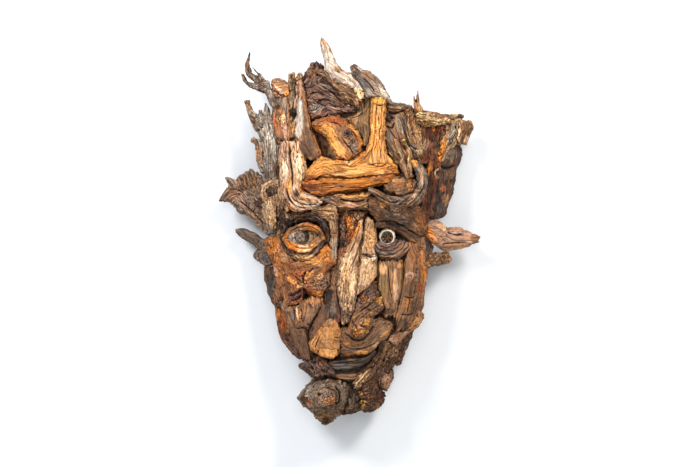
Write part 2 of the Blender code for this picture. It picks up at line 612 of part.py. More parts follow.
def cheeks():
    lay("cheek_left_amber", "amber",
        strand((-86, -9, -70, -4), (-84.5, -21, -66, -18), (-78.5, -35, -54, -32), (-74.5, -52, -44, -50),
               (-69, -64, -45.5, -64), (-62, -76, -49, -73.5), thick=17, lift=3.0, camber=2.0,
               section=BROAD),
        strand((-62, -54, -62, -31), (-32, -54, -31, -22), (-24, -46, -23.5, -10), (-13, -34, -12.5, -28),
               thick=17, lift=3.0, camber=1.0),
        strand((-47, -60, -46, -45), (-38, -66, -38, -39), (-30, -70, -28, -39), (-21, -57, -19, -41, -1),
               thick=18, lift=3.0, camber=3.0, square=ROOT))
    lay("cheek_left_lower", "tan",
        strand((-67, -73, -27, -64), (-65, -82, -25, -74), (-61, -91, -33, -87), (-57, -98, -40, -98.5),
               thick=16, lift=2.0, camber=3.0))
    lay("cheek_right_board", "clay",
        strand((58, -8, 76, -5), (56, -24, 75.5, -24), (53.5, -36, 77.5, -38), (53, -50, 76.5, -51),
               (50, -64, 74.5, -64), (47, -78, 74, -77), (45, -88, 67, -87), (46, -103, 59, -101),
               thick=19, lift=3.0, camber=2.0, section=BROAD))
    lay("cheek_right_pale", "bone",
        strand((27, -31, 54, -29), (26.5, -45, 55, -44), (26, -57, 54, -57), (29, -66, 51, -66),
               (34, -77, 49, -78), (32, -86, 47, -89, -3), thick=17, lift=1.0, camber=1.5))


def mouth():
    lay("lip_upper_yellow", "straw",
        strand((-23, -90, -13, -91), (-28, -99, -11, -98), (-36, -107, -10, -107), (-40.5, -113, -9, -114),
               (-39, -119, -10, -121), (-34, -123.5, -13, -125), (-24, -126, -16, -129),
               thick=15, lift=4.0, camber=3.0, section=BROAD))
    lay("lip_plate_brown", "tan",
        strand((-9.5, -126, -10, -97), (0, -127.5, 0, -96), (10, -127.5, 10, -94), (20, -125, 21, -90),
               (28, -116, 29, -87), (36, -109, 37, -88), (41.5, -99, 42, -91), thick=15, lift=1.0,
               camber=2.0))
    lay("jaw_right_strip", "clay",
        strand((68, -80, 73, -82), (64.5, -88, 74.5, -88), (59, -97, 68, -97), (50, -97, 58, -104),
               (44, -104, 50.5, -112), (37, -108, 43, -117), thick=10, lift=3.0, square=ROOT))
    lay("chin_strip_pale", "straw",
        strand((1.5, -153, 7, -159), (5.5, -147, 14, -153), (13, -140, 21, -145), (22, -130, 28.5, -135),
               (28, -119, 34, -123), (31, -109, 37, -112), thick=9, lift=6.0))
    lay("lips_lower", "slate",
        strand((-21, -135, -20, -131), (-12, -140, -13, -128.5), (0, -141, 0, -127), (10, -138, 9, -127),
               (19, -131, 18, -125.5), (27, -124, 24, -119), thick=13, lift=3.0, camber=3.0, square=ROOT),
        strand((-18, -147, -17, -138), (-6, -151, -5, -138), (5, -151, 4, -137), (16, -143, 13, -133),
               (27, -133, 22, -126), (36, -119, 31, -114), thick=14, lift=-1.0, camber=2.0))


def jaws_and_chin():
    lay("jaw_left_knob", "umber",
        strand((-49.5, -137, -47.5, -132.5), (-42, -145, -40, -127.5), (-34, -149, -31, -125.5),
               (-25, -149, -23, -127), (-17, -147, -17, -137), thick=20, lift=1.0, camber=3.0,
               square=ROOT))
    lay("chin_burl", "slate",
        strand((-38, -150, 0, -150, -3), (-46.5, -159, 2.5, -158), (-53.5, -169.5, 2.5, -168),
               (-47, -178, -3, -179), (-37, -184, -8, -184.5, -5), thick=40, lift=1.0, camber=5.0,
               square=ROOT, section=BROAD),
        strand((-42, -179, -2, -181, -8), (-36, -187, -14, -187.5, -8), (-30, -193, -18, -192, -8),
               (-26, -195.5, -21.5, -195, -8), thick=16, lift=0.0, square=ROOT),
        knob(-24.5, -167, 15.5, 13.5, 30, lift=9.0))
    lay("chin_knob_right", "umber",
        strand((16, -140, 27, -138, -8), (9, -156, 31, -155, -3), (7, -163, 35.5, -165),
               (8, -171, 35, -172), (10, -178, 30, -178), (13, -181.5, 25, -181.5, -4), thick=34, lift=3.0, camber=6.0,
               square=ROOT),
        strand((0, -160, 12, -159, -2), (-5, -178.5, 12, -179), (-10, -184.5, 4, -181.5),
               thick=16, lift=0.0, square=SPLIT))
    lay("jaw_right_board", "umber",
        strand((54, -103, 64.5, -98), (47, -112, 62, -108), (43, -121, 57.5, -119), (43, -128, 54, -127),
               (46.5, -135.5, 50.5, -135.5), thick=15, lift=-1.0),
        strand((32, -110, 49, -108), (32, -122, 48, -121), (33, -131, 46, -130), (24, -138, 42.5, -139),
               (22, -146, 44.5, -146), (27, -155, 42, -155), (31, -162, 37, -162.5), thick=17, lift=0.0))
    lay("jaw_left_plate", "tan",
        strand((-73, -70, -60, -71, -2), (-67, -84, -52, -84, -1), (-62, -97, -43, -97),
               (-57.5, -108, -41, -107), (-52, -119, -40, -118), (-47.5, -131, -38, -131), thick=14, lift=1.0, camber=2.0))
    lay("mouth_plates_dark", "umber",
        strand((-29, -75, -20, -74), (-34, -87, -20, -86), (-39.5, -97, -23, -96), (-40.5, -104, -27, -103),
               (-38, -112, -30, -111), thick=14, lift=0.0),
        strand((-28, -56, -12, -57), (-26, -69, -12, -69), (-24, -77, -9, -77), (-22, -86, -8, -86),
               (-18, -91, -10, -92), thick=15, lift=-1.0))
    lay("jaw_left_strips", "russet",
        strand((-86, -37, -72, -37), (-85.5, -50, -69, -50), (-82.5, -62, -65, -61), (-79.5, -71, -62, -71),
               (-75.5, -77.5, -62, -79), (-75, -86, -60, -84), (-70.5, -104, -54, -103),
               (-66, -114, -50, -112), (-59.5, -123, -44, -120), (-51, -129.5, -41, -126),
               thick=15, lift=-2.0))


def back_logs():
    """The dark wood behind, seen in the gaps. The middle log carries the face on the wall."""
    log("back_log_middle", "umber",
        ((-34, 121, 32, 121), (-40, 92, 32, 92), (-36, 62, 30, 62), (-30, 30, 14, 30), (-22, 0, 20, 0),
         (-24, -31, 20, -31), (-30, -62, 20, -62), (-28, -93, 14, -93), (-24, -123, 12, -122),
         (-26, -150, 8, -148), (-28, -172, 4, -170)))
    log("back_log_left", "umber",
        ((-64, 118, -30, 118), (-66, 92, -34, 92), (-66, 62, -30, 62), (-67, 30, -24, 30),
         (-68, 0, -18, 0), (-64, -31, -20, -31), (-60, -62, -24, -62), (-54, -93, -24, -93),
         (-46, -116, -20, -118), (-40, -132, -20, -134)), columns=4, edge=0)
    log("back_log_right", "umber",
        ((28, 110, 82, 108), (28, 88, 86, 86), (26, 60, 86, 58), (10, 30, 80, 28), (16, 0, 70, -2),
         (16, -32, 64, -34), (16, -62, 60, -64), (10, -92, 52, -90), (8, -116, 44, -116),
         (4, -138, 34, -140)), columns=4, edge=3)


for existing in list(bpy.data.objects):
    bpy.data.objects.remove(existing)
pieces = bpy.data.collections.new("wood_face_sculpture")
cutters = bpy.data.collections.new("cutters")
bpy.context.scene.collection.children.link(pieces)
bpy.context.scene.collection.children.link(cutters)
laid = []
surfaces = []

nose()
left_eye()
right_eye()
forehead()
left_temple()
crown_middle()
cheeks()
mouth()
crown_left()
crown_right()
ears()
jaws_and_chin()
back_logs()
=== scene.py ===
"""The looks of the driftwood face: the grain, cracks, knots and colours of each piece of wood.

Each piece starts as a copy of its CAD solid on a finer mesh. Its grain follows lines drawn along
the wood, and the weathering is carved and tinted in the grain's own directions. Then come the
marks that the real pieces carry, one by one: cracks, ridges, holes, knots and patches of colour.

Places and widths are in units of the drawing, 389 to the height of the face: x to the right, z up,
and "out" away from the wall.
"""
import math

import bpy
import numpy as np
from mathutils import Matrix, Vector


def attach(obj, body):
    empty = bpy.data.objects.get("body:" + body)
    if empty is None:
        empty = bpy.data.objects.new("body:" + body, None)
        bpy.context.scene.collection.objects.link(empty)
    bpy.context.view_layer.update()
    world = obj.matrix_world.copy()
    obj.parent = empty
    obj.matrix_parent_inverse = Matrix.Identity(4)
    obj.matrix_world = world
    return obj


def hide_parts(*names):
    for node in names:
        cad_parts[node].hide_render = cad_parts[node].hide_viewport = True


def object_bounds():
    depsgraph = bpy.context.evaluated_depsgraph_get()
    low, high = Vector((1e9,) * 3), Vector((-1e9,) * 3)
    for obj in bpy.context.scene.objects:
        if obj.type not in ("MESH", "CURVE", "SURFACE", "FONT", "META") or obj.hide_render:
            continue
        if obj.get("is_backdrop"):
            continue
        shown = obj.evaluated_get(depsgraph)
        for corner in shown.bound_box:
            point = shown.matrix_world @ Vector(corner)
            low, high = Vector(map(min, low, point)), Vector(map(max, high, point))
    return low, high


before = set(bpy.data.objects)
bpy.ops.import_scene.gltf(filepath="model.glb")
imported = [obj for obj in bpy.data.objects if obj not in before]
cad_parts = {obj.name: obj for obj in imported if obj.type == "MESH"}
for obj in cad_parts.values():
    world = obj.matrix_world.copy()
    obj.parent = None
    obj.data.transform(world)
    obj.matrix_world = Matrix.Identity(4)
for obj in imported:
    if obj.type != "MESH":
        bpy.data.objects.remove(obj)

low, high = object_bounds()
DRAWN_HEIGHT = 389.0
UNIT = (high.z - low.z) / DRAWN_HEIGHT

FINE = 0.64                    # mesh size of the front pieces
FINEST = 0.55                  # of twigs and of the eyes
COARSE = 2.2                   # and of the logs behind
SAME_POINT = 1e-6              # in metres
EDGE_WEAR = 1                  # rounds of smoothing
KEPT_SHARE = 0.58              # of the triangles; the rest come off where a piece looks away
LOOKS_AWAY = 0.15

# The paint card: sRGB, 0 to 255.
CARD = {
    "char": (34, 24, 19), "soot": (56, 43, 37), "umber": (84, 60, 46), "walnut": (108, 76, 54),
    "brown": (134, 97, 68), "tan": (162, 122, 88), "sand": (190, 151, 115),
    "straw": (216, 177, 124), "cream": (236, 210, 172), "bone": (240, 226, 210),
    "honey": (212, 146, 72), "amber": (190, 116, 42), "orange": (222, 130, 44),
    "gold": (240, 180, 84), "rust": (158, 86, 42), "russet": (120, 64, 36),
    "maroon": (88, 46, 36), "slate": (88, 80, 78), "taupe": (122, 102, 89),
    "grey": (152, 139, 129), "silver": (192, 181, 172), "mauve": (114, 86, 77),
    "rose": (178, 137, 115), "peach": (226, 184, 142), "olive": (130, 102, 64),
    "apricot": (244, 172, 98), "buff": (208, 156, 104), "blond": (244, 196, 148),
    "tawny": (168, 112, 66), "shell": (222, 194, 174), "stone": (144, 124, 108),
    "chestnut": (148, 94, 52), "wheat": (192, 134, 78), "corn": (226, 158, 82),
}


def linear(tone):
    """A tone of the paint card as linear red, green and blue."""
    share = np.array(CARD[tone]) / 255.0
    return np.where(share <= 0.04045, share / 12.92, ((share + 0.055) / 1.055) ** 2.4)


# How each kind of wood has weathered. Sizes are in drawing units.
BOARD = dict(growth=1.0, stretch=14.0, wander=1.4, ridge_width=4.6, ridge_height=0.45,
             line_width=1.9, line_height=0.26, step_width=8.0, step_height=0.45,
             crack_spacing=9.0, crack_width=0.7, crack_depth=1.2, crack_share=0.42,
             chip_size=4.2, chip_height=1.8, lump_size=13.0, lump_height=0.9,
             scale_size=5.0, scale_height=0.0, splinter=4.0, fray=0.9, stain=0.30,
             patch_noise=0.34, light=1.0, finish="dry_board")
ROOT = dict(BOARD, stretch=10.0, wander=1.6, ridge_width=3.4, ridge_height=0.9, step_height=0.3,
            crack_depth=1.6, crack_share=0.5, chip_height=1.2, splinter=1.2, fray=0.6,
            finish="gnarled_root")
TWIG = dict(ROOT, growth=0.3, ridge_width=2.2, ridge_height=0.3, line_height=0.12, step_height=0.1,
            crack_depth=0.4, chip_height=0.3, lump_height=0.3, splinter=0.0, fray=0.2)
HEART = dict(BOARD, stretch=11.0, ridge_height=0.42, line_height=0.2, step_height=0.5,
             chip_height=1.3, crack_depth=1.0, crack_share=0.45, lump_height=0.8, splinter=2.0,
             stain=0.35, finish="golden_heartwood")
BARK = dict(BOARD, stretch=4.0, wander=2.0, ridge_width=4.2, ridge_height=0.7, crack_share=0.5,
            scale_size=4.5, scale_height=0.9, splinter=1.0, finish="rough_bark")
BURL = dict(BARK, stretch=2.0, ridge_height=0.3, lump_size=8.0, lump_height=1.4, scale_size=4.0,
            scale_height=0.6, splinter=0.0)
WORN = dict(BOARD, ridge_height=0.25, line_height=0.16, step_height=0.25, crack_share=0.25,
            crack_depth=0.8, chip_height=0.8, lump_height=0.7, splinter=0.8, fray=0.4,
            finish="worn_smooth")
SMOOTH = dict(BOARD, ridge_height=0.25, line_height=0.08, step_height=0.16, crack_share=0.2,
              chip_height=0.8, stain=0.2, fray=0.6, patch_noise=0.25, finish="worn_smooth")
LOG = dict(ROOT, growth=0.0, ridge_width=7.0, ridge_height=1.2, line_width=4.0, line_height=0.6,
           crack_spacing=20.0, crack_width=2.2, crack_depth=1.5, splinter=0.0)

FRONT = 1.6                    # how quickly a carved mark fades where a face turns from the viewer
SEEDS = 211                    # places in the noise where a piece may start
TABLE = 256                    # slopes that the noise has
NOISE_REACH = 1.75             # brings the noise to about -1 to 1
# Where in the noise each pattern of the grain is read, so that no two are alike.
SHIFT = dict(ridge=3.7, line=11.3, split=23.9, shade=31.0, patch=47.0, layer=59.0, stain=71.0,
             streak=83.0)

# The grain. Sizes in threes are along the grain, across it and out of it.
LINE_STEPS = 5                 # straight parts between two points of a grain line
CIRCLE_POINTS = 13
LINE_OFFSET = 61.0             # keeps the patterns of two grain lines of a piece apart
SEAM_SIZE, SEAM_HEIGHT = 6, 0.8          # wobble of the seam between two grain lines
TURN_RADIUS = 12.0             # at which grain round a middle counts its way along
KNOT_CORE, KNOT_REACH, KNOT_SPREAD, KNOT_TURN = 0.6, 4, 1.3, 2
WANDER_SIZES = (24, 9, 9)

# Weathering. Two numbers in brackets are where an effect starts and where it is full.
RIDGE_VALLEY = (0, 0.32)
LINE_VALLEY = (0, 0.36)
RIDGE_TOP, RIDGE_RISE = 0.8, 0.6
SPLIT_WIDTH, SPLIT_STRETCH, SPLIT_SIZES, SPLIT_SHOWS = 1.2, 6.0, (19, 7, 9), (0.45, 0.75)
STEP_LEVELS = (-0.45, -0.1, 0.25, 0.6)
STEP_RIM, STEP_STRETCH = 0.045, 5.0
CHIP_SHOWS = (0.0, 0.25)
NICK_SHOWS, NICK_SIZE, NICK_SHARE = (0.0, 0.3), 1.9, 0.4
FRAY_SIZES = (4, 1.5, 3)
SCALE_BEND, SCALE_TOP, SCALE_RISE, SCALE_VALLEY = 0.4, 0.7, 0.8, (0, 0.25)
SPLINTER_SIZES = ((1.2, 2.0), (3.5, 6.0))    # small and large ones, across and out
SPLINTER_LENGTH, SPLINTER_REACH, LEAST_REACH = 30, 3, 0.1
# How dark a valley is painted, and how that grows with its height. A step's is bounded instead.
# This is painted shade in the valleys between ridges and scales and at the foot of each step; the
# fine lines get painted shade together with their own dark.
RIDGE_SHADE, LINE_SHADE, STEP_SHADE, SCALE_SHADE = (0.45, 2.2), (0.38, 5), (0.9, 0.6), (0.7, 1.4)

# The marks.
WOBBLE_SIZE, WOBBLE_DEPTH = 3.5, 6
TAPER_IN, TAPER_OUT = (-0.02, 0.18), (1.02, 0.82)
LINE_WOBBLE, BUMP_WOBBLE, CRUMB_WOBBLE, RING_WOBBLE = 0.35, 0.12, 0.35, 0.3
# Where a crack's painted shade starts and where it is full, across the crack.
CRACK_DARK = (0.25, 0.8)
# A hole's dark is painted shade.
HOLE_DEPTH = 1.5               # from which a hole is fully dark
GRIT_SIZE, FLAKE_SIZE = 1.6, 3.0
GRIT_RISE, FLAKE_RISE, FLAKE_LEVEL = 0.8, 1.4, 0.35
# GRIT_DARK and CRUMB_SHADE paint shade into the low grit of a crumbly place, and GRIT_LIGHT a painted
# highlight onto its raised grit. RING_SHADE is the dark of the growth rings.
CRUMB_EDGE, GRIT_DARK, GRIT_LIGHT = (1.15, 0.6), (-0.16, -0.45), (0.12, 0.45)
CRUMB_SHADE, RING_SHADE = 0.65, 0.75
RING_WIDTH, RING_END = 0.6, 0.8

# The colour.
STREAK_SHARE, MOTTLE_SHARE, FIBRE_SHARE = 0.34, 0.26, 0.34
STREAK_WIDTH, STREAK_STRETCH, MOTTLE_SIZE, FIBRE_SIZES = 2.6, 10.0, 11, (6, 1.2, 1.6)
STAIN_WIDTH, STAIN_STRETCH, STAIN_SHOWS = 6.5, 3.2, (0.05, 0.55)
STAIN_SPOT, STAIN_SPOTS = 5, 0.4    # their size and their share
STAIN_SHADE = np.array((0.85, 0.95, 1.0))
TINGE_WIDTH, TINGE_STRETCH, TINGE_SHOWS = 5.0, 5.0, (0.05, 0.6)
WARM_STREAK = np.array((0.07, -0.01, -0.12))
GREY_STREAK, GREY_LIGHT = 0.16, 1.05
PATCH_STRETCH, PATCH_SIZES, PATCH_EDGE = 5.0, (6, 1.2, 3), (0.82, 1.08)
PATCH_WOBBLE, PATCH_FIBRES = 0.6, 0.7
PATCH_COVER, PATCH_DARK, PATCH_SPREAD = 0.92, 0.66, 0.62
# The groove mask darkens the colour: painted shade in cracks, splits, valleys, holes and low grit, with
# the own dark of grain lines and rings.
GROOVE_SHADE = np.array((0.84, 0.89, 0.92))    # share of each colour that a full groove takes
# Painted shade in the hollows of the mesh: small ones within a few mesh steps, and broad dips.
HOLLOW_REACH, HOLLOW_FROM, HOLLOW_SHADE = 2, (0.02, 0.20), 0.55
DIP_REACH, DIP_FROM, DIP_SHADE = 14, (0.05, 1.1), 0.5
# Convex edges are lightened, partly as wear and partly as a painted highlight; EDGE_GAIN and EDGE_PALE
# below set how.
WEAR_AND_HIGHLIGHT_FROM, WEAR_AND_HIGHLIGHT_SHARE = (0.03, 0.22), 0.20
# FLAKE_GAIN and FLAKE_PALE lighten the raised grit of a crumbly place: a painted highlight.
FLAKE_GAIN, FLAKE_PALE, EDGE_GAIN, EDGE_PALE = 0.5, 0.03, 1.5, 0.02
SIDE_SHADE = 0.22              # dirt and painted shade on the faces that look sideways
WARMTH = np.array((1.16, 1.11, 1.02))    # makes up for the studio's dimmer and cooler light
DARKEST, LIGHTEST = 0.004, 0.95

randoms = np.random.default_rng(389)
SHUFFLED = randoms.permutation(TABLE)
SLOPES = randoms.normal(size=(TABLE, 3))
SLOPES /= np.linalg.norm(SLOPES, axis=1)[:, None]
CORNERS = np.array([(a, b, c) for a in (0, 1) for b in (0, 1) for c in (0, 1)])


def noise(*directions):
    """Smooth random swell at each point, about -1 to 1, with lumps about one unit wide."""
    points = np.column_stack(directions)
    cells = np.floor(points).astype(int)
    inside = points - cells
    fade = inside ** 3 * (inside * (inside * 6 - 15) + 10)
    total = np.zeros(len(points))
    for corner in CORNERS:
        x, y, z = ((cells + corner) % TABLE).T
        slope = SLOPES[SHUFFLED[(SHUFFLED[(SHUFFLED[x] + y) % TABLE] + z) % TABLE]]
        weight = np.prod(np.where(corner, fade, 1 - fade), axis=1)
        total += weight * ((inside - corner) * slope).sum(axis=1)
    return total * NOISE_REACH


def smooth_step(start, end, value):
    """0 up to the start, 1 from the end on, and a soft rise between them."""
    share = np.clip((value - start) / (end - start), 0, 1)
    return share * share * (3 - 2 * share)


def smooth_line(points):
    """A line of short straight parts that runs smoothly through the points."""
    points = np.array(points, float)
    ends = np.vstack((2 * points[0] - points[1], points, 2 * points[-1] - points[-2]))
    share = np.linspace(0, 1, LINE_STEPS, endpoint=False)[:, None]
    rows = [0.5 * (2 * b + (c - a) * share + (2 * a - 5 * b + 4 * c - d) * share ** 2
                   + (3 * b - a - 3 * c + d) * share ** 3)
            for a, b, c, d in zip(ends, ends[1:], ends[2:], ends[3:])]
    return np.vstack(rows + [points[-1:]])


def along_line(line, x, z):
    """Where points lie on a line: distance along it, signed distance across it, distance to it, its
    length and its direction there."""
    start = line[:-1]
    step = np.diff(line, axis=0)
    length = np.hypot(step[:, 0], step[:, 1])
    step = step / length[:, None]
    before = np.cumsum(length) - length
    dx = x[:, None] - start[:, 0]
    dz = z[:, None] - start[:, 1]
    run = dx * step[:, 0] + dz * step[:, 1]
    side = dx * step[:, 1] - dz * step[:, 0]
    held = np.clip(run, 0, length)
    gap = np.hypot(dx - held * step[:, 0], dz - held * step[:, 1])
    nearest = gap.argmin(axis=1)
    rows = np.arange(len(x))
    run, side, held, gap = (values[rows, nearest] for values in (run, side, held, gap))
    past_end = ((nearest == 0) & (run < 0)) | ((nearest == len(start) - 1) & (run > length[-1]))
    along = before[nearest] + np.where(past_end, run, held)
    across = np.where(past_end, side, np.sign(side) * gap)
    return along, across, gap, length.sum(), step[nearest]


def circle(x, z, radius, start=0, end=360):
    """Points for a round crack or ridge."""
    angles = np.radians(np.linspace(start, end, CIRCLE_POINTS))
    return tuple(zip(x + radius * np.cos(angles), z + radius * np.sin(angles)))


def read(mesh, what):
    """A place or a direction for each point of the mesh."""
    values = np.empty(len(mesh.vertices) * 3)
    mesh.vertices.foreach_get(what, values)
    return values.reshape(-1, 3)


def place_points(mesh, places):
    """Moves the mesh's points, and keeps them in front of the wall."""
    places[:, 1] = np.minimum(places[:, 1], 0)
    mesh.vertices.foreach_set("co", places.ravel())


def bare_wood(node, voxel):
    """A copy of the node's solid on an even mesh fine enough to carve, with its edges worn."""
    bpy.ops.object.select_all(action="DESELECT")
    piece = bpy.data.objects.new(node + "_wood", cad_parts[node].data.copy())
    bpy.context.scene.collection.objects.link(piece)
    piece.data.materials.clear()
    piece.select_set(True)
    bpy.context.view_layer.objects.active = piece
    bpy.ops.object.mode_set(mode="EDIT")
    bpy.ops.mesh.select_all(action="SELECT")
    bpy.ops.mesh.remove_doubles(threshold=SAME_POINT)
    bpy.ops.object.mode_set(mode="OBJECT")
    even = piece.modifiers.new("even mesh", "REMESH")
    even.mode = "VOXEL"
    even.voxel_size = voxel * UNIT
    worn = piece.modifiers.new("worn edges", "SMOOTH")
    worn.iterations = EDGE_WEAR
    for modifier in (even, worn):
        bpy.ops.object.modifier_apply(modifier=modifier.name)
    return piece


def hollows(mesh, places, normals, reaches):
    """How hollow the mesh is at each point, within some mesh steps: negative where it bulges."""
    edges = np.empty(len(mesh.edges) * 2, int)
    mesh.edges.foreach_get("vertices", edges)
    first, second = edges.reshape(-1, 2).T
    ends = np.concatenate((first, second))
    others = np.concatenate((second, first))
    count = np.maximum(np.bincount(ends, minlength=len(places)), 1)
    middle = places
    found = []
    for reach in range(1, max(reaches) + 1):
        middle = np.column_stack([np.bincount(ends, middle[others, axis], len(places)) / count
                                  for axis in range(3)])
        if reach in reaches:
            found.append(((middle - places) * normals).sum(axis=1))
    return found


def thin_out(piece, away):
    """Takes triangles off the sides and the back of a piece, which need no fine marks."""
    group = piece.vertex_groups.new(name="looks away")
    group.add(away.tolist(), 1.0, "REPLACE")
    fewer = piece.modifiers.new("fewer triangles", "DECIMATE")
    fewer.ratio = KEPT_SHARE
    fewer.vertex_group = group.name
    bpy.ops.object.modifier_apply(modifier=fewer.name)
    piece.vertex_groups.clear()
    place_points(piece.data, read(piece.data, "co"))


class Carving:
    """The points of one piece, and what is carved into them.

    relief is how far each point moves out of the wood, groove how deep it lies in a cut, from 0 to
    1, which darkens it as painted shade, with the own dark of grain lines and rings added in, and
    flakes how much of a lifted crumb it is, which lightens it as a painted highlight. along and
    across are its place in the grain.
    """

    def __init__(self, mesh, kind, seed, grabs):
        self.kind = kind
        self.seed = seed
        self.places = read(mesh, "co") / UNIT
        self.normals = read(mesh, "normal")
        for grab_x, grab_z, radius, move_x, move_z in grabs:
            away = (self.places[:, 0] - grab_x) ** 2 + (self.places[:, 2] - grab_z) ** 2
            hold = np.exp(-away / radius ** 2)
            self.places[:, 0] += move_x * hold
            self.places[:, 2] += move_z * hold
        self.x, self.out, self.z = self.places[:, 0], -self.places[:, 1], self.places[:, 2]
        self.facing = np.clip(-self.normals[:, 1] * FRONT, 0, 1)
        self.inwards = np.zeros_like(self.places)
        self.end_gap = np.full(len(self.x), np.inf)
        self.flakes = np.zeros(len(self.x))
        self.wobble = self.swell(WOBBLE_SIZE, WOBBLE_DEPTH, seeded=0)

    def swell(self, width, depth=None, seeded=2):
        """Noise in lumps of a width, and a depth where that differs. seeded is the direction that
        the piece's seed shifts."""
        shift = self.seed * (np.arange(3) == seeded)
        return noise(self.x / width + shift[0], self.z / width + shift[1],
                     self.out / (depth or width) + shift[2])

    def fibres(self, sizes, seeded=2):
        """Noise with sizes along and across the grain and out of it."""
        shift = self.seed * (np.arange(3) == seeded)
        return noise(self.along / sizes[0] + shift[0], self.across / sizes[1] + shift[1],
                     self.out / sizes[2] + shift[2])

    def grain(self, pattern, width, stretch):
        """Noise drawn out along the grain."""
        shift = SHIFT[pattern]
        return noise(self.along / (width * stretch) + self.seed, self.across / width + shift,
                     self.out / width + shift)

    def away_from(self, x, z):
        return np.hypot(self.x - x, self.z - z)

    # Adds to the groove mask: painted shade in the cuts of the carving, and the dark of grain lines and
    # rings.
    def darken(self, mark):
        self.groove = np.maximum(self.groove, mark)

    def circle_round(self, middle_x, middle_z):
        """Grain in rings round a middle."""
        self.along = np.arctan2(self.z - middle_z, self.x - middle_x) * TURN_RADIUS
        self.across = self.away_from(middle_x, middle_z)

    def follow(self, lines):
        """Grain along the nearest of the lines, with the way in from its ends for the splinters."""
        gap = np.full(len(self.x), np.inf)
        self.along = np.zeros(len(self.x))
        self.across = np.zeros(len(self.x))
        seam = SEAM_HEIGHT * self.swell(SEAM_SIZE)
        for number, line in enumerate(lines):
            run, side, away, _, heading = along_line(smooth_line(line), self.x, self.z)
            near = away + seam < gap
            if not near.any():
                continue
            gap[near] = away[near]
            self.along[near] = run[near] + number * LINE_OFFSET
            self.across[near] = side[near] + number * LINE_OFFSET
            from_start = run - run[near].min()
            from_end = run[near].max() - run
            self.end_gap[near] = np.minimum(from_start, from_end)[near]
            way = np.where(from_start < from_end, 1.0, -1.0)
            self.inwards[near, 0] = (heading[:, 0] * way)[near]
            self.inwards[near, 2] = (heading[:, 1] * way)[near]

    def bend_round(self, knots):
        """Leads the grain round its knots, and in rings inside them. Then the grain wanders."""
        for knot_x, knot_z, radius in knots:
            away = self.away_from(knot_x, knot_z)
            at_knot = self.across[away.argmin()]
            bend = np.clip(1 - (radius / np.maximum(away, radius * KNOT_CORE)) ** 2, -1, 1)
            reach = smooth_step(radius * KNOT_REACH, radius, away)
            bent = at_knot + (self.across - at_knot) * (1 + (bend - 1) * reach)
            turn = np.arctan2(self.z - knot_z, self.x - knot_x) * radius * KNOT_TURN
            self.across = np.where(away > radius, bent, away * KNOT_SPREAD)
            self.along = np.where(away > radius, self.along, turn)
        self.across = self.across + self.kind["wander"] * self.fibres(WANDER_SIZES)

    def weather(self):
        """What the weather does all over: ridges, fine lines, splits, steps, lumps, chipped edges,
        frayed sides and scales."""
        kind = self.kind
        ridge = np.abs(self.grain("ridge", kind["ridge_width"], kind["stretch"]))
        line = np.abs(self.grain("line", kind["line_width"], kind["stretch"]))
        ridge_valley = 1 - smooth_step(*RIDGE_VALLEY, ridge)
        line_valley = 1 - smooth_step(*LINE_VALLEY, line)
        split_gap = np.abs(self.grain("split", kind["crack_spacing"], SPLIT_STRETCH))
        split_width = SPLIT_WIDTH * kind["crack_width"] / kind["crack_spacing"]
        split = 1 - smooth_step(0, split_width, split_gap)
        split *= smooth_step(*SPLIT_SHOWS, kind["crack_share"] + 0.5 * self.fibres(SPLIT_SIZES, 1))
        lump = 0.5 + 0.5 * self.swell(kind["lump_size"])
        layer = self.grain("layer", kind["step_width"], STEP_STRETCH)
        steps = sum(smooth_step(level - STEP_RIM, level + STEP_RIM, layer)
                    for level in STEP_LEVELS)
        foot = sum(np.exp(-((layer - level - STEP_RIM) / STEP_RIM) ** 2) for level in STEP_LEVELS)
        towards = np.clip(-self.normals[:, 1], 0, 1)
        edge = 4 * towards * (1 - towards)
        chip = smooth_step(*CHIP_SHOWS, self.swell(kind["chip_size"], seeded=0)) * edge
        chip += NICK_SHARE * smooth_step(*NICK_SHOWS, self.swell(NICK_SIZE, seeded=1)) * edge
        fray = self.fibres(FRAY_SIZES, 0) * (1 - self.facing)
        ridges = RIDGE_RISE * np.minimum(ridge, RIDGE_TOP) - ridge_valley
        self.relief = (kind["growth"] + kind["ridge_height"] * ridges
                       - kind["line_height"] * line_valley - kind["crack_depth"] * split
                       - kind["lump_height"] * lump
                       - kind["step_height"] * (steps - len(STEP_LEVELS) / 2)
                       - kind["chip_height"] * chip + kind["fray"] * fray)
        # The valleys, the feet of the steps, the splits and the scale crust are darkened as painted
        # shade; the fine lines also keep their own dark.
        share, growth = RIDGE_SHADE
        self.groove = share * ridge_valley * min(1.0, kind["ridge_height"] * growth)
        share, growth = LINE_SHADE
        self.darken(share * line_valley * min(1.0, kind["line_height"] * growth))
        share, most = STEP_SHADE
        self.darken(np.clip(share * foot * kind["step_height"], 0, most))
        self.darken(split)
        if kind["scale_height"]:
            size = kind["scale_size"]
            scale = np.abs(noise(self.x / size + SCALE_BEND * lump, self.z / size,
                                 self.out / size + self.seed))
            crust = 1 - smooth_step(*SCALE_VALLEY, scale)
            rise = SCALE_RISE * np.minimum(scale, SCALE_TOP) - crust
            self.relief += kind["scale_height"] * rise
            share, growth = SCALE_SHADE
            self.darken(share * crust * min(1.0, kind["scale_height"] * growth))

    def cut_lines(self, marks, sign):
        """Cracks, with sign -1, and raised ridges, with sign 1, that thin out at both ends."""
        for width, height, *points in marks:
            run, _, away, total, _ = along_line(smooth_line(points), self.x, self.z)
            taper = smooth_step(*TAPER_IN, run / total) * smooth_step(*TAPER_OUT, run / total)
            mark = np.exp(-((away + LINE_WOBBLE * self.wobble) / width) ** 2) * taper * self.facing
            self.relief += sign * height * mark
            # A crack is darkened as painted shade.
            if sign < 0:
                self.darken(smooth_step(*CRACK_DARK, mark) * min(1.0, height))

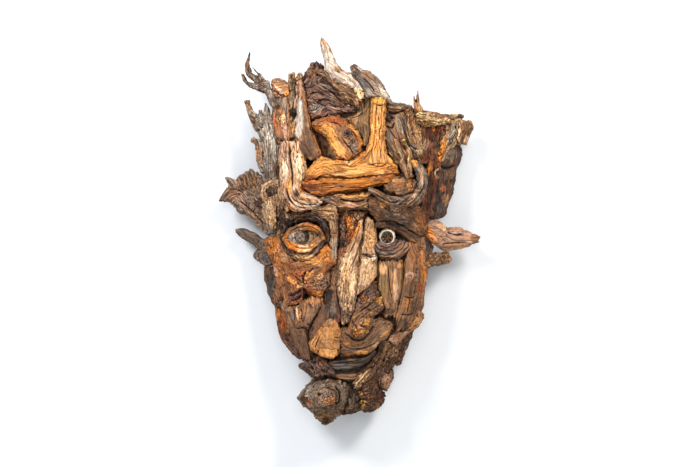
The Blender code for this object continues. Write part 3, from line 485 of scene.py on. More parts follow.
    def swell_spots(self, bumps):
        """Round bumps and holes."""
        for bump_x, bump_z, radius, height in bumps:
            away = self.away_from(bump_x, bump_z) + BUMP_WOBBLE * radius * self.wobble
            mark = np.exp(-(away / radius) ** 4) * self.facing
            self.relief += height * mark
            # A hole is darkened by its depth: painted shade.
            if height < 0:
                self.darken(mark * min(1.0, -height / HOLE_DEPTH))

    def crumble(self, crumbs):
        """Places where the wood has gone to grit and flakes."""
        for crumb_x, crumb_z, radius, height in crumbs:
            away = self.away_from(crumb_x, crumb_z) / radius + CRUMB_WOBBLE * self.wobble
            cover = smooth_step(*CRUMB_EDGE, away) * self.facing
            grit = self.swell(GRIT_SIZE, seeded=0)
            flake = np.abs(self.swell(FLAKE_SIZE, seeded=1))
            self.relief += height * cover * (GRIT_RISE * grit + FLAKE_RISE * (FLAKE_LEVEL - flake))
            # The low grit is darkened as painted shade, and the raised grit is lightened as a painted
            # highlight.
            self.darken(CRUMB_SHADE * cover * smooth_step(*GRIT_DARK, grit))
            self.flakes = np.maximum(self.flakes, cover * smooth_step(*GRIT_LIGHT, grit))

    def cut_rings(self, rings):
        """Growth rings round a middle."""
        for ring_x, ring_z, radius, spacing, height in rings:
            away = self.away_from(ring_x, ring_z)
            turn = np.abs((away / spacing + RING_WOBBLE * self.wobble) % 1 - 0.5) * 2
            fade = smooth_step(radius, radius * RING_END, away)
            mark = (1 - smooth_step(0, RING_WIDTH, turn)) * fade * self.facing
            self.relief -= height * mark
            self.darken(RING_SHADE * mark)

    def carved(self):
        """The carved points in metres, with the ends of the grain drawn in to splinters."""
        jagged = np.full(len(self.x), 0.5)
        for across, out in SPLINTER_SIZES:
            jagged = jagged + 0.5 * noise(self.across / across + self.seed, self.out / out,
                                          self.along / SPLINTER_LENGTH)
        splinter = self.kind["splinter"]
        at_end = 1 - smooth_step(0, SPLINTER_REACH * splinter + LEAST_REACH, self.end_gap)
        pull = splinter * np.clip(jagged, 0, 1) * at_end
        moved = self.places + self.normals * self.relief[:, None] + self.inwards * pull[:, None]
        return moved * UNIT

    def painted(self, tones, patches, hollow, dip):
        """The colour of each point: tones along the grain, stains and patches, painted shade in the
        grooves and hollows, where the grooves also hold the dark of grain lines and rings, dirt and
        painted shade on the faces that look sideways, and the convex edges lighter, partly wear and
        partly a painted highlight."""
        shade = np.clip(0.5 + STREAK_SHARE * self.grain("shade", STREAK_WIDTH, STREAK_STRETCH)
                        + MOTTLE_SHARE * self.swell(MOTTLE_SIZE, seeded=1)
                        + FIBRE_SHARE * self.fibres(FIBRE_SIZES), 0, 1)[:, None]
        dark, common, light = (linear(tone) for tone in tones)
        colour = np.where(shade < 0.5, dark + (common - dark) * 2 * shade,
                          common + (light - common) * (2 * shade - 1))
        stain = smooth_step(*STAIN_SHOWS, self.grain("stain", STAIN_WIDTH, STAIN_STRETCH)
                            + STAIN_SPOTS * self.swell(STAIN_SPOT))
        colour = colour * (1 - self.kind["stain"] * stain[:, None] * STAIN_SHADE)
        tinge = self.grain("streak", TINGE_WIDTH, TINGE_STRETCH)
        warm = smooth_step(*TINGE_SHOWS, tinge)[:, None]
        cold = smooth_step(*TINGE_SHOWS, -tinge)[:, None]
        ragged = self.kind["patch_noise"] * (
            self.grain("patch", STREAK_WIDTH, PATCH_STRETCH)
            + PATCH_WOBBLE * self.wobble + PATCH_FIBRES * self.fibres(PATCH_SIZES, 1))
        for patch_x, patch_z, half_x, half_z, *tilt, tone in patches:
            turn = math.radians(sum(tilt))
            cos, sin = math.cos(turn), math.sin(turn)
            dx = (self.x - patch_x) * cos + (self.z - patch_z) * sin
            dz = (self.z - patch_z) * cos - (self.x - patch_x) * sin
            away = np.sqrt((dx / half_x) ** 2 + (dz / half_z) ** 2) + ragged
            cover = (1 - smooth_step(*PATCH_EDGE, away))[:, None]
            paint = linear(tone) * (PATCH_DARK + PATCH_SPREAD * shade)
            colour = colour + (paint - colour) * cover * PATCH_COVER
        colour = colour * (1 + WARM_STREAK * warm)
        colour += (colour.mean(axis=1)[:, None] * GREY_LIGHT - colour) * GREY_STREAK * cold
        # Raised grit lighter: painted highlight.
        colour += (colour * FLAKE_GAIN + FLAKE_PALE) * self.flakes[:, None]
        # Painted shade in the cuts, with the dark of grain lines and rings.
        colour *= 1 - self.groove[:, None] * GROOVE_SHADE
        # Painted shade in the hollows, small and broad.
        colour *= 1 - HOLLOW_SHADE * smooth_step(*HOLLOW_FROM, hollow)[:, None]
        colour *= 1 - DIP_SHADE * smooth_step(*DIP_FROM, dip)[:, None]
        # Convex edges lighter: partly wear, partly a painted highlight.
        worn = smooth_step(*WEAR_AND_HIGHLIGHT_FROM, -hollow)[:, None] * WEAR_AND_HIGHLIGHT_SHARE
        colour += (colour * EDGE_GAIN + EDGE_PALE - colour) * worn
        # Dirt and painted shade on the faces that look sideways.
        colour *= (1 - SIDE_SHADE * (1 - self.facing[:, None])) * WARMTH * self.kind["light"]
        return np.clip(colour, DARKEST, LIGHTEST)


def dress(node, wood, tones, lines=(), around=None, voxel=FINE, grabs=(), knots=(), cracks=(),
          ridges=(), bumps=(), crumbs=(), rings=(), patches=(), **changes):
    """Carves and tints one piece of wood, which then stands for its CAD node.

    tones are the dark, the common and the light one. lines are the grain's, or around is the middle
    that it circles. grabs pull the outline a little: (x, z, radius, move in x, move in z).
    knots: (x, z, radius). cracks and ridges: (width, height, point after point). bumps, with a
    negative height for a hole, and crumbs, where the wood is crumbly: (x, z, radius, height).
    rings: (x, z, radius, spacing, height). patches: (x, z, half width, half height, tilt in degrees
    if it has one, tone). changes are made to the kind of wood.
    """
    kind = {**wood, **changes}
    seed = sum(ord(letter) * place for place, letter in enumerate(node, 1)) % SEEDS
    piece = bare_wood(node, voxel)
    mesh = piece.data
    carving = Carving(mesh, kind, seed, grabs)
    if around:
        carving.circle_round(*around)
    else:
        carving.follow(lines)
    carving.bend_round(knots)
    carving.weather()
    carving.cut_lines(cracks, -1.0)
    carving.cut_lines(ridges, 1.0)
    carving.swell_spots(bumps)
    carving.crumble(crumbs)
    carving.cut_rings(rings)
    places = carving.carved()
    place_points(mesh, places)
    mesh.update()
    hollow, dip = hollows(mesh, places, read(mesh, "normal"), (HOLLOW_REACH, DIP_REACH))
    colour = carving.painted(tones, patches, hollow / (voxel * UNIT), dip / UNIT)

    tint = mesh.attributes.new("tint", "FLOAT_COLOR", "POINT")
    tint.data.foreach_set("color", np.column_stack((colour, np.ones(len(colour)))).ravel())
    grain = mesh.attributes.new("grain", "FLOAT_VECTOR", "POINT")
    own_place = np.column_stack((carving.along, carving.across, carving.out)) * UNIT
    grain.data.foreach_set("vector", own_place.ravel())
    mesh.materials.append(finishes[kind["finish"]])
    thin_out(piece, np.flatnonzero(carving.facing < LOOKS_AWAY))
    mesh.shade_smooth()
    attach(piece, "root")
    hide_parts(node)


# Noise in the finish: how much of it to the metre along, across and out of the grain, its detail
# and its distortion.
FINE_FIBRES = ((40, 560, 560), 3.0, 0.3)
BROAD_STREAKS = ((14, 260, 260), 2.0, 0.6)
HAIR_PLACES = ((22, 70, 70), 1.0, 0.5)
LONG_HAIRS = ((9, 150, 150), 1.0, 0.4)
SHORT_HAIRS = ((20, 330, 330), 1.0, 0.5)
LONG_HAIR_WIDTH, SHORT_HAIR_WIDTH, SHORT_HAIR_SHARE = (0.020, 0.05), (0.03, 0.08), 0.7
NOISE_MIDDLE = 0.5
NOISE_SPAN = (0.32, 0.68)      # between which most of the noise lies
HAIRS_SHOW, FEWEST_HAIRS = (0.40, 0.54), 0.2
FINE_SHARE, BROAD_SHARE = 0.7, 0.3
# HAIR_SHADE is the painted shade in the hair cracks.
HAIR_SHADE, HAIR_DEPTH, ROUGHNESS_SWING = 0.85, 1.5, -0.10


def weathered_wood():
    """Fibres, pores and hair cracks along the grain, laid over the tint of the piece, with
    painted shade in the hair cracks.
    """
    group = bpy.data.node_groups.new("weathered wood", "ShaderNodeTree")
    interface = group.interface
    for name, kind in (("Tint", "NodeSocketColor"), ("Grain", "NodeSocketVector"),
                       ("Fibre strength", "NodeSocketFloat"), ("Hair cracks", "NodeSocketFloat"),
                       ("Dry roughness", "NodeSocketFloat")):
        interface.new_socket(name, in_out="INPUT", socket_type=kind)
    for name, kind in (("Color", "NodeSocketColor"), ("Roughness", "NodeSocketFloat"),
                       ("Height", "NodeSocketFloat")):
        interface.new_socket(name, in_out="OUTPUT", socket_type=kind)
    nodes, links = group.nodes, group.links
    given = nodes.new("NodeGroupInput")
    made = nodes.new("NodeGroupOutput")

    def stretched_noise(per_metre, detail, distortion):
        scale = nodes.new("ShaderNodeVectorMath")
        scale.operation = "MULTIPLY"
        scale.inputs[1].default_value = per_metre
        links.new(given.outputs["Grain"], scale.inputs[0])
        texture = nodes.new("ShaderNodeTexNoise")
        texture.inputs["Scale"].default_value = 1.0
        texture.inputs["Detail"].default_value = detail
        texture.inputs["Distortion"].default_value = distortion
        links.new(scale.outputs[0], texture.inputs["Vector"])
        return texture.outputs["Fac"]

    def map_to(value, given_span, made_span):
        mapped = nodes.new("ShaderNodeMapRange")
        for socket, number in zip(mapped.inputs[1:5], (*given_span, *made_span)):
            socket.default_value = number
        links.new(value, mapped.inputs[0])
        return mapped.outputs[0]

    def maths(operation, first, second):
        node = nodes.new("ShaderNodeMath")
        node.operation = operation
        for socket, value in zip(node.inputs, (first, second)):
            if isinstance(value, float):
                socket.default_value = value
            else:
                links.new(value, socket)
        return node.outputs[0]

    def thin_lines(noise_kind, width):
        swing = maths("SUBTRACT", stretched_noise(*noise_kind), NOISE_MIDDLE)
        return map_to(maths("ABSOLUTE", swing, 0.0), width, (1.0, 0.0))

    fibre = map_to(stretched_noise(*FINE_FIBRES), NOISE_SPAN, (-1.0, 1.0))
    streak = map_to(stretched_noise(*BROAD_STREAKS), NOISE_SPAN, (-1.0, 1.0))
    where = map_to(stretched_noise(*HAIR_PLACES), HAIRS_SHOW, (FEWEST_HAIRS, 1.0))
    hair = maths("MAXIMUM", thin_lines(LONG_HAIRS, LONG_HAIR_WIDTH),
                 maths("MULTIPLY", thin_lines(SHORT_HAIRS, SHORT_HAIR_WIDTH), SHORT_HAIR_SHARE))
    hair = maths("MULTIPLY", maths("MULTIPLY", hair, where), given.outputs["Hair cracks"])
    both = maths("ADD", maths("MULTIPLY", fibre, FINE_SHARE),
                 maths("MULTIPLY", streak, BROAD_SHARE))
    strong = maths("MULTIPLY", both, given.outputs["Fibre strength"])
    # The fibres lighten and darken the tint, and the hair cracks darken it as painted shade.
    light = maths("MULTIPLY", maths("ADD", strong, 1.0),
                  maths("SUBTRACT", 1.0, maths("MULTIPLY", hair, HAIR_SHADE)))
    tinted = nodes.new("ShaderNodeVectorMath")
    tinted.operation = "SCALE"
    links.new(given.outputs["Tint"], tinted.inputs[0])
    links.new(light, tinted.inputs["Scale"])
    links.new(tinted.outputs[0], made.inputs["Color"])
    swing = maths("MULTIPLY", both, ROUGHNESS_SWING)
    links.new(maths("ADD", swing, given.outputs["Dry roughness"]), made.inputs["Roughness"])
    links.new(maths("SUBTRACT", both, maths("MULTIPLY", hair, HAIR_DEPTH)), made.inputs["Height"])
    return group


def wood_finish(group, name, fibres, cracks, roughness, depth, gloss):
    """A material for one kind of wood."""
    material = bpy.data.materials.new(name)
    material.use_nodes = True
    nodes, links = material.node_tree.nodes, material.node_tree.links
    shader = nodes["Principled BSDF"]
    shader.inputs["Specular IOR Level"].default_value = gloss
    tint = nodes.new("ShaderNodeAttribute")
    tint.attribute_name = "tint"
    grain = nodes.new("ShaderNodeAttribute")
    grain.attribute_name = "grain"
    wood = nodes.new("ShaderNodeGroup")
    wood.node_tree = group
    links.new(tint.outputs["Color"], wood.inputs["Tint"])
    links.new(grain.outputs["Vector"], wood.inputs["Grain"])
    wood.inputs["Fibre strength"].default_value = fibres
    wood.inputs["Hair cracks"].default_value = cracks
    wood.inputs["Dry roughness"].default_value = roughness
    bump = nodes.new("ShaderNodeBump")
    bump.inputs["Distance"].default_value = depth
    links.new(wood.outputs["Height"], bump.inputs["Height"])
    links.new(wood.outputs["Color"], shader.inputs["Base Color"])
    links.new(wood.outputs["Roughness"], shader.inputs["Roughness"])
    links.new(bump.outputs["Normal"], shader.inputs["Normal"])
    return material


def nose():
    dress("nose_plates", SMOOTH, ("brown", "sand", "peach"), light=0.83, crack_share=0.3,
          chip_height=0.9,
          lines=[((18, 12), (20, -12), (18, -28), (17, -46), (8, -64))],
          cracks=[(0.8, 2.2, (8, -25), (14, -24), (20, -27), (27, -26)), (1.3, 3.5, (6, -42), (6, -49)),
                  (0.6, 1.2, (16, -16), (17, -26))],
          bumps=[(27, -33, 2, -3.5), (17, -35, 6, 0.8), (24, -27, 2.2, 1.2), (15, -33, 1.8, 1)],
          crumbs=[(20, -30, 6, 0.5), (19, -8, 8, 0.2)],
          patches=[(20, -8, 5, 14, "buff"), (18, -25, 7, 2, "walnut"), (24, -27, 2.4, 2, "bone"),
                   (16, -43, 8, 14, "peach"), (15, -32, 3, 2.4, "cream"), (23, -50, 3, 8, -20, "buff"),
                   (12, -60, 5, 5, "tan")])
    dress("nose_board", BOARD, ("brown", "sand", "peach"), crack_share=0.4, ridge_height=0.3,
          line_height=0.16,
          lines=[((12, 11), (4, -14), (-1, -36), (-4, -60), (-4, -92))],
          cracks=[(0.9, 2.2, (21, 12), (15, -3), (9, -18), (4, -30), (-4, -43)),
                  (0.7, 1.6, (19, 5), (13, -10), (8, -22)), (1.2, 3, (6, -41), (6, -50)),
                  (0.45, 1, (11, 8), (5, -10), (-1, -24)), (0.6, 1.2, (-1, -60), (-3, -78), (-4, -92)),
                  (0.4, 0.8, (3, -56), (2, -74)), (0.4, 0.8, (-6, -50), (-8, -70))],
          ridges=[(2, 0.8, (-6, -20), (-8, -40), (-8, -60))],
          patches=[(13, -8, 2, 15, -23, "umber"), (-14, -45, 5, 17, -8, "brown"),
                   # The peach patch at (3, -52) is a painted highlight down the board.
                   (3, -52, 4, 14, "peach"), (5, -2, 2.4, 10, -28, "orange"),
                   (-9, -20, 4, 9, -20, "rust"), (-3, -38, 5, 14, -10, "blond"),
                   (-8, -84, 3, 8, "mauve"), (-1, -86, 3, 9, "taupe")])
    dress("nose_wing", BOARD, ("umber", "brown", "tan"), light=0.92, crack_share=0.5, ridge_height=0.7,
          lines=[((38, -66), (28, -73), (16, -82), (5, -96))],
          grabs=[(8, -100, 7, -1, -3), (16, -98, 6, 1.5, -2)],
          cracks=[(0.9, 3, (9, -94), (13, -95), (17, -94)), (0.6, 1.4, (1, -90), (6, -95), (8, -101)),
                  (0.8, 1.4, (3, -86), (12, -79), (24, -71)), (0.5, 1, (8, -89), (18, -81), (30, -74))],
          ridges=[(2.2, 1.2, (36, -72), (26, -80), (18, -88))],
          bumps=[(9, -97, 9, 1.3), (20, -91, 5, 1.2)], crumbs=[(13, -68, 9, 0.7), (4, -95, 8, 0.5)],
          patches=[(14, -67, 3, 2.5, "orange"), (32, -70, 5, 6, -45, "honey"),
                   (22, -79, 6, 3, 40, "tan"), (10, -97, 8, 6, "tawny"),
                   (16, -91, 2.5, 7, -35, "honey"), (12, -100, 6, 2, "honey"),
                   (-1, -96, 3, 5, 40, "amber"), (5, -102, 3, 2, "orange"), (20, -60, 7, 8, "mauve"),
                   (6, -72, 5, 8, "mauve")])


def left_eye():
    dress("eyelids_left", TWIG, ("russet", "amber", "straw"), voxel=FINEST, light=0.87,
          finish="golden_heartwood", growth=1.3, ridge_height=0.5, crack_depth=0.8, fray=0.0,
          lines=[((-66, -9), (-59, -1), (-51, 4.5), (-42, 5.5), (-34, 3), (-28, -5), (-26, -9)),
                 ((-66, -8), (-59, -15), (-51, -19), (-42, -18), (-34, -13), (-28, -8))],
          grabs=[(-47, 0, 7, 0, -1.6), (-56, -2, 6, 0.5, -1), (-45, 11, 6, 0, -2.6),
                 (-55, 9, 6, 0.5, -2.6), (-35, 8, 6, -0.5, -2.6), (-47, -13, 7, 0, 1.9),
                 (-46, -21, 6, 0, -1.2)],
          cracks=[(0.45, 0.9, (-61, -3), (-54, 2), (-46, 4), (-38, 3), (-31, -1)),
                  (0.45, 1.3, (-57, -16), (-49, -18.5), (-40, -18), (-32, -12)),
                  (0.5, 1.2, (-60, -18), (-50, -22), (-40, -21), (-31, -14)),
                  (0.4, 1, (-52, -14), (-44, -15.5), (-36, -13))],
          # The rose patch at (-44, 7) is a painted highlight on the top of the upper lid.
          patches=[(-55, 2, 8, 3, 38, "brown"), (-44, 7, 6, 1.4, "rose"),
                   (-38, 3, 6, 2.4, -15, "orange"), (-57, -16, 7, 3.5, -40, "orange"),
                   (-43, -16, 9, 1.3, 6, "cream"), (-43, -20, 9, 1.6, 6, "blond"),
                   (-32, -13, 3, 6, -40, "tan"), (-29, -4, 3, 4, "walnut")])
    dress("eyeball_left", WORN, ("taupe", "grey", "silver"), voxel=FINEST, lump_height=0.2, fray=0.0,
          patch_noise=0.15, ridge_height=0.15, splinter=0.0, step_height=0.1, chip_height=0.0,
          stain=0.15,
          lines=[((-62, -7), (-48, -7), (-30, -6))],
          cracks=[(0.6, 1.4, *circle(-48, -6.4, 6.9, 150, 400)),
                  (0.4, 0.7, (-60, -3), (-57, -8), (-58, -12)),
                  # The next crack, along the upper lid, is painted shadow under the lid.
                  (1.5, 1.5, (-64, -7), (-58, -1), (-50, 1), (-42, 1), (-33, -1), (-28, -4)),
                  (0.4, 0.9, (-40, -1), (-36, -6), (-38, -12))],
          bumps=[(-48, -6.4, 6.2, 1.6), (-49, -8, 1, -1), (-46, -4, 0.9, -1)],
          crumbs=[(-48, -6.4, 5.8, 0.55)],
          patches=[(-37, -6, 6, 5, "sand"), (-59, -7, 3, 4, "grey"), (-48, -6.4, 7, 6.6, "slate"),
                   # The char patch at (-45, -2) is painted shadow under the upper lid.
                   (-49, -8, 4, 3, "taupe"), (-45, -2, 4, 2.4, "char"), (-44, -7, 2, 3, "soot")])
    dress("eye_socket_left", ROOT, ("soot", "umber", "taupe"), ridge_width=2.4,
          lines=[((-67, -3), (-62.5, 7), (-54, 13), (-43.5, 14), (-32.5, 12), (-25.5, 5.5), (-22, -3),
                  (-23, -11)), 
                 ((-67.5, -6), (-64, -17), (-58, -25), (-50, -28), (-40, -26), (-32.5, -19),
                  (-24.5, -8))],
          cracks=[(0.9, 2, (-62, -25), (-55, -31), (-45, -32.5), (-35, -28)),
                  (0.7, 1.4, (-60, 9), (-50, 12), (-40, 12)), (0.8, 1.4, (-30, -13), (-26, -6))],
          ridges=[(0.8, 1.1, (-36, 15), (-28, 9), (-23, 0)), (0.7, 1, (-38, 12), (-30, 6), (-27, -1)),
                  (3, 1.2, (-62, -21), (-54, -27), (-44, -28), (-36, -24))],
          patches=[(-50, -28, 14, 4.5, 4, "tan"), (-47, -27, 9, 2, 4, "buff"),
                   (-30, -16, 4, 6, -40, "mauve"), (-50, 13, 13, 3, 4, "walnut"),
                   (-60, 6, 6, 5, 40, "char"), (-27, 8, 2, 7, 25, "slate")])


def right_eye():
    dress("eye_branch_right", WORN, ("slate", "grey", "silver"), around=(37, -7), voxel=FINEST,
          patch_noise=0.1, growth=0.0, lump_height=0.2, ridge_height=0.1, line_height=0.1, splinter=0.0,
          chip_height=0.5, stain=0.2, cracks=[(0.5, 0.8, *circle(37, -7.5, 5.9))],
          bumps=[(37, -7.5, 5.8, -0.9)] + [(*spot, 0.8, -1.4)
                                           for spot in circle(37, -7.5, 3.4, 20, 320)[::2]],
          crumbs=[(37, -7.5, 5.2, 0.6)],
          patches=[(37, -7.5, 9.8, 9.8, "silver"), (36, -6.5, 8.8, 8.8, "bone"),
                   (37, -7.5, 6.6, 6.6, "umber"), (37, -7.5, 4, 4, "walnut")])
    dress("eye_bag_right", SMOOTH, ("soot", "mauve", "stone"), around=(37, -7), light=0.84,
          chip_height=0.6, cracks=[(0.8, 1.6, (27, -30), (36, -32), (46, -31))],
          rings=[(37, -5, 40, 3.6, 1.3)],
          patches=[(34, -28, 8, 2.4, -4, "brown"), (52, -20, 4, 8, -20, "brown"),
                   (45, -26, 8, 1.5, 20, "tan")])
    dress("brow_right", WORN, ("umber", "walnut", "tawny"), light=0.82, crack_share=0.4,
          ridge_height=0.4,
          lines=[((20, 27), (35, 20), (50, 16), (65, 12), (75, 2)),
                 ((26, 5), (38, 4.5), (50, 1), (60, -5), (68, -11))],
          cracks=[(0.8, 1.4, (25, 8), (37, 9), (50, 6), (62, -2), (70, -6))],
          ridges=[(2.5, 1, (22, 22), (40, 17), (58, 10), (74, -3))],
          patches=[(33, 25, 4, 3, "honey"), (45, 22, 8, 4, -15, "walnut"), (66, 2, 6, 3, -40, "tan"),
                   (70, 10, 5, 15, 15, "chestnut"), (60, -4, 12, 3, -33, "umber"),
                   (28, 14, 5, 6, "brown"), (46, 13, 14, 4, -20, "taupe"),
                   (44, 5, 10, 1.6, -8, "char")])


def forehead():
    dress("temple_root_hook", ROOT, ("umber", "taupe", "sand"), stretch=26.0, ridge_width=2.2,
          growth=1.5, ridge_height=0.6, lump_height=0.3, wander=0.6, crack_share=0.3, fray=0.2,
          patch_noise=0.2,
          lines=[((65, 68), (71, 58), (72.5, 47), (70, 39), (63, 32), (55, 27), (44, 25), (34, 32),
                  (25, 38), (18, 41))],
          grabs=[(46, 20, 8, 0, -6), (33, 31, 7, 0, -2), (66, 33, 8, 2, -2)],
          cracks=[(0.5, 1.5, (67, 62), (69, 50), (65, 40), (58, 32), (50, 26), (44, 24)),
                  (0.5, 1.4, (73, 58), (74, 48), (70, 37), (60, 27), (50, 19)),
                  (0.4, 1, (77, 56), (77, 45), (73, 35), (62, 24), (52, 16)),
                  (0.8, 1.6, (24, 37), (34, 30), (44, 27), (52, 32)),
                  (0.6, 1.2, (40, 20), (46, 17), (54, 22))],
          patches=[(72, 52, 7, 12, "stone"), (71, 54, 1.4, 9, 5, "sand"), (54, 23, 12, 4, 38, "walnut"),
                   (63, 66, 5, 3, -20, "honey"), (62, 31, 9, 1.6, 45, "sand"),
                   (38, 28, 6, 2, -30, "tan"), (30, 35, 8, 2, -30, "brown")])
    dress("forehead_post", HEART, ("rust", "honey", "apricot"), crack_share=0.42, stain=0.25,
          lines=[((30, 134), (28, 110), (28, 92), (28, 78), (28, 68)),
                 ((24, 134), (22, 110), (19, 90), (12, 76), (2, 68)),
                 ((36, 134), (35, 112), (36, 92), (42, 78), (50, 64)),
                 ((-46, 50), (-28, 62), (-16, 60), (0, 58), (14, 58), (30, 58), (50, 57))],
          grabs=[(25, 134, 2.5, 0, 2.5), (22, 130, 3, -1.8, 0.5), (38, 130, 3, 1.8, 0.5),
                 (31, 135, 2.5, 0, -1.5)],
          cracks=[(1.1, 2.8, (-46, 49), (-34, 50), (-26, 54), (-21, 54.5), (-12, 51), (4, 49.5),
                   (26, 51), (46, 54)),  (0.45, 1.1, (-6, 58), (4, 60), (14, 59)),
                  (0.45, 1, (-36, 60), (-22, 62)), (0.4, 0.9, (-20, 64), (-4, 65)),
                  (0.45, 1, (16, 64), (30, 66), (40, 62)), (0.5, 1.3, (28, 114), (29, 104)),
                  (0.5, 1.3, (31, 104), (29, 95), (30, 88)), (0.4, 1.1, (25, 104), (24, 92)),
                  (0.5, 1.2, (33, 92), (35, 82), (38, 75)), (0.45, 1.2, (27, 88), (24, 79)),
                  (0.4, 1, (21, 86), (15, 76)), (0.4, 1, (30, 80), (31, 70)),
                  (0.6, 1.8, (23, 126), (30, 124), (37, 126)), (0.4, 1.1, (26, 124), (26, 116))],
          ridges=[(3.5, 0.8, (-40, 60), (-20, 62), (0, 61), (20, 65))], crumbs=[(28, 98, 8, 0.4)],
          patches=[(30, 129, 9, 4, "gold"), (16, 49.5, 9, 1.5, 3, "bone"), (-20, 61, 14, 4, 4, "honey"),
                   (8, 60, 16, 5, "apricot"), (40, 58, 10, 6, -10, "amber"), (-40, 50, 6, 5, "rust"),
                   (28, 80, 8, 9, "honey"), (28, 105, 6, 16, "apricot"), (0, 51, 20, 1.6, "amber")])
    dress("forehead_plank", HEART, ("russet", "amber", "honey"), light=0.9, stain=0.35,
          lines=[((-48, 44), (-27, 43), (0, 45), (20, 47), (46, 53))],
          cracks=[(0.5, 1.2, (-26, 41), (-10, 43), (14, 42), (34, 47)),
                  (0.4, 1, (-40, 44), (-26, 46), (-10, 45))],
          patches=[(-2, 45, 12, 2.4, "amber"), (-40, 42, 9, 5, "russet"), (26, 46, 10, 3, 8, "amber")])
    dress("brow_bracket", BOARD, ("walnut", "tan", "straw"), splinter=1.0,
          lines=[((-40, 18), (-22, 18), (-13, 17)), ((-16, 15), (-16, -8), (-15, -29))],
          grabs=[(-18, 22, 7, 0, 2.5), (-22, 13, 5, -1.5, -2.5), (-19, 4, 5, -1.2, 0)],
          cracks=[(0.6, 1.4, (-20, -3), (-13, -3.5)),
                  (0.4, 0.8, (-36, 19), (-24, 19), (-17, 14), (-15, 4))], crumbs=[(-19, 15, 9, 0.35)],
          patches=[(-24, 20, 10, 3, 8, "sand"), (-17, 8, 3, 8, "sand"), (-15, -18, 3, 12, "grey"),
                   (-30, 18, 5, 1.6, "brown")])
    dress("brow_strip_centre", BOARD, ("umber", "brown", "sand"), light=1.26,
          lines=[((-34, 26), (-24, 31), (-14, 27)), ((-14, 33), (2, 35), (12, 32), (20, 33)),
                 ((-13, 27), (0, 24), (12, 22), (20, 26))],
          cracks=[(1, 2.4, (-13, 31), (-4, 29), (8, 28), (19, 31)),
                  (0.9, 2, (-12, 22), (-2, 20), (8, 22), (18, 26)),
                  (0.8, 1.6, (-34, 24), (-24, 27), (-15, 22)),
                  (0.7, 1.5, (-28, 31), (-18, 33), (-12, 36)), (0.5, 1, (-4, 36), (8, 35))],
          ridges=[(1.4, 1.2, (-30, 30), (-22, 33), (-15, 30)), (1.4, 1, (-8, 26), (4, 23), (14, 24))],
          patches=[(4, 34, 13, 2.2, 3, "honey"), (-23, 31, 7, 3, 20, "taupe"),
                   (0, 25, 9, 2.5, -8, "rose"), (13, 24, 6, 2.5, 15, "tan"),
                   (-28, 26, 5, 2, 15, "umber")])
    dress("nose_bridge", BARK, ("maroon", "walnut", "amber"), scale_size=3.0,
          lines=[((3, 19), (0, 0), (-7, -22))],
          cracks=[(0.8, 1.6, (-5, 15), (-4, 4), (-5, -10)), (0.8, 1.6, (3, 15), (7, 9), (10, 6))],
          ridges=[(2.4, 1.2, (-9, 14), (-9, 0), (-9, -14))], bumps=[(-9, -22, 3.5, -2)],
          crumbs=[(-1, 5, 6, 1.2), (1, -6, 4, 0.8)],
          patches=[(-9, 2, 3.4, 13, "mauve"), (-1, 7, 3, 6, 12, "orange"), (1, -4, 3, 6, 30, "rust"),
                   (9, 13, 6, 4, 30, "tan"), (-8, -15, 4, 7, "soot"), (2, 3, 1.4, 1.6, "gold")])
    dress("temple_lens_knot", SMOOTH, ("umber", "walnut", "tan"), growth=1.6,
          lines=[((34, 48), (44, 47), (54, 51), (62, 56)), ((34, 42), (44, 40), (53, 42), (60, 48))],
          cracks=[(0.5, 1.4, (55, 54), (58, 46), (57, 38)), (0.5, 1.2, (60, 56), (63, 48), (61, 40)),
                  (0.5, 1, (36, 50), (45, 51), (53, 53))],
          bumps=[(43, 36, 2.4, -2.4), (47, 44, 7, 1.4)],
          patches=[(61, 48, 1.3, 8, 5, "amber"), (57.5, 46, 1.2, 8, 5, "honey"),
                   (47, 45, 6, 4, 10, "chestnut"), (38, 46, 4, 5, "walnut")])


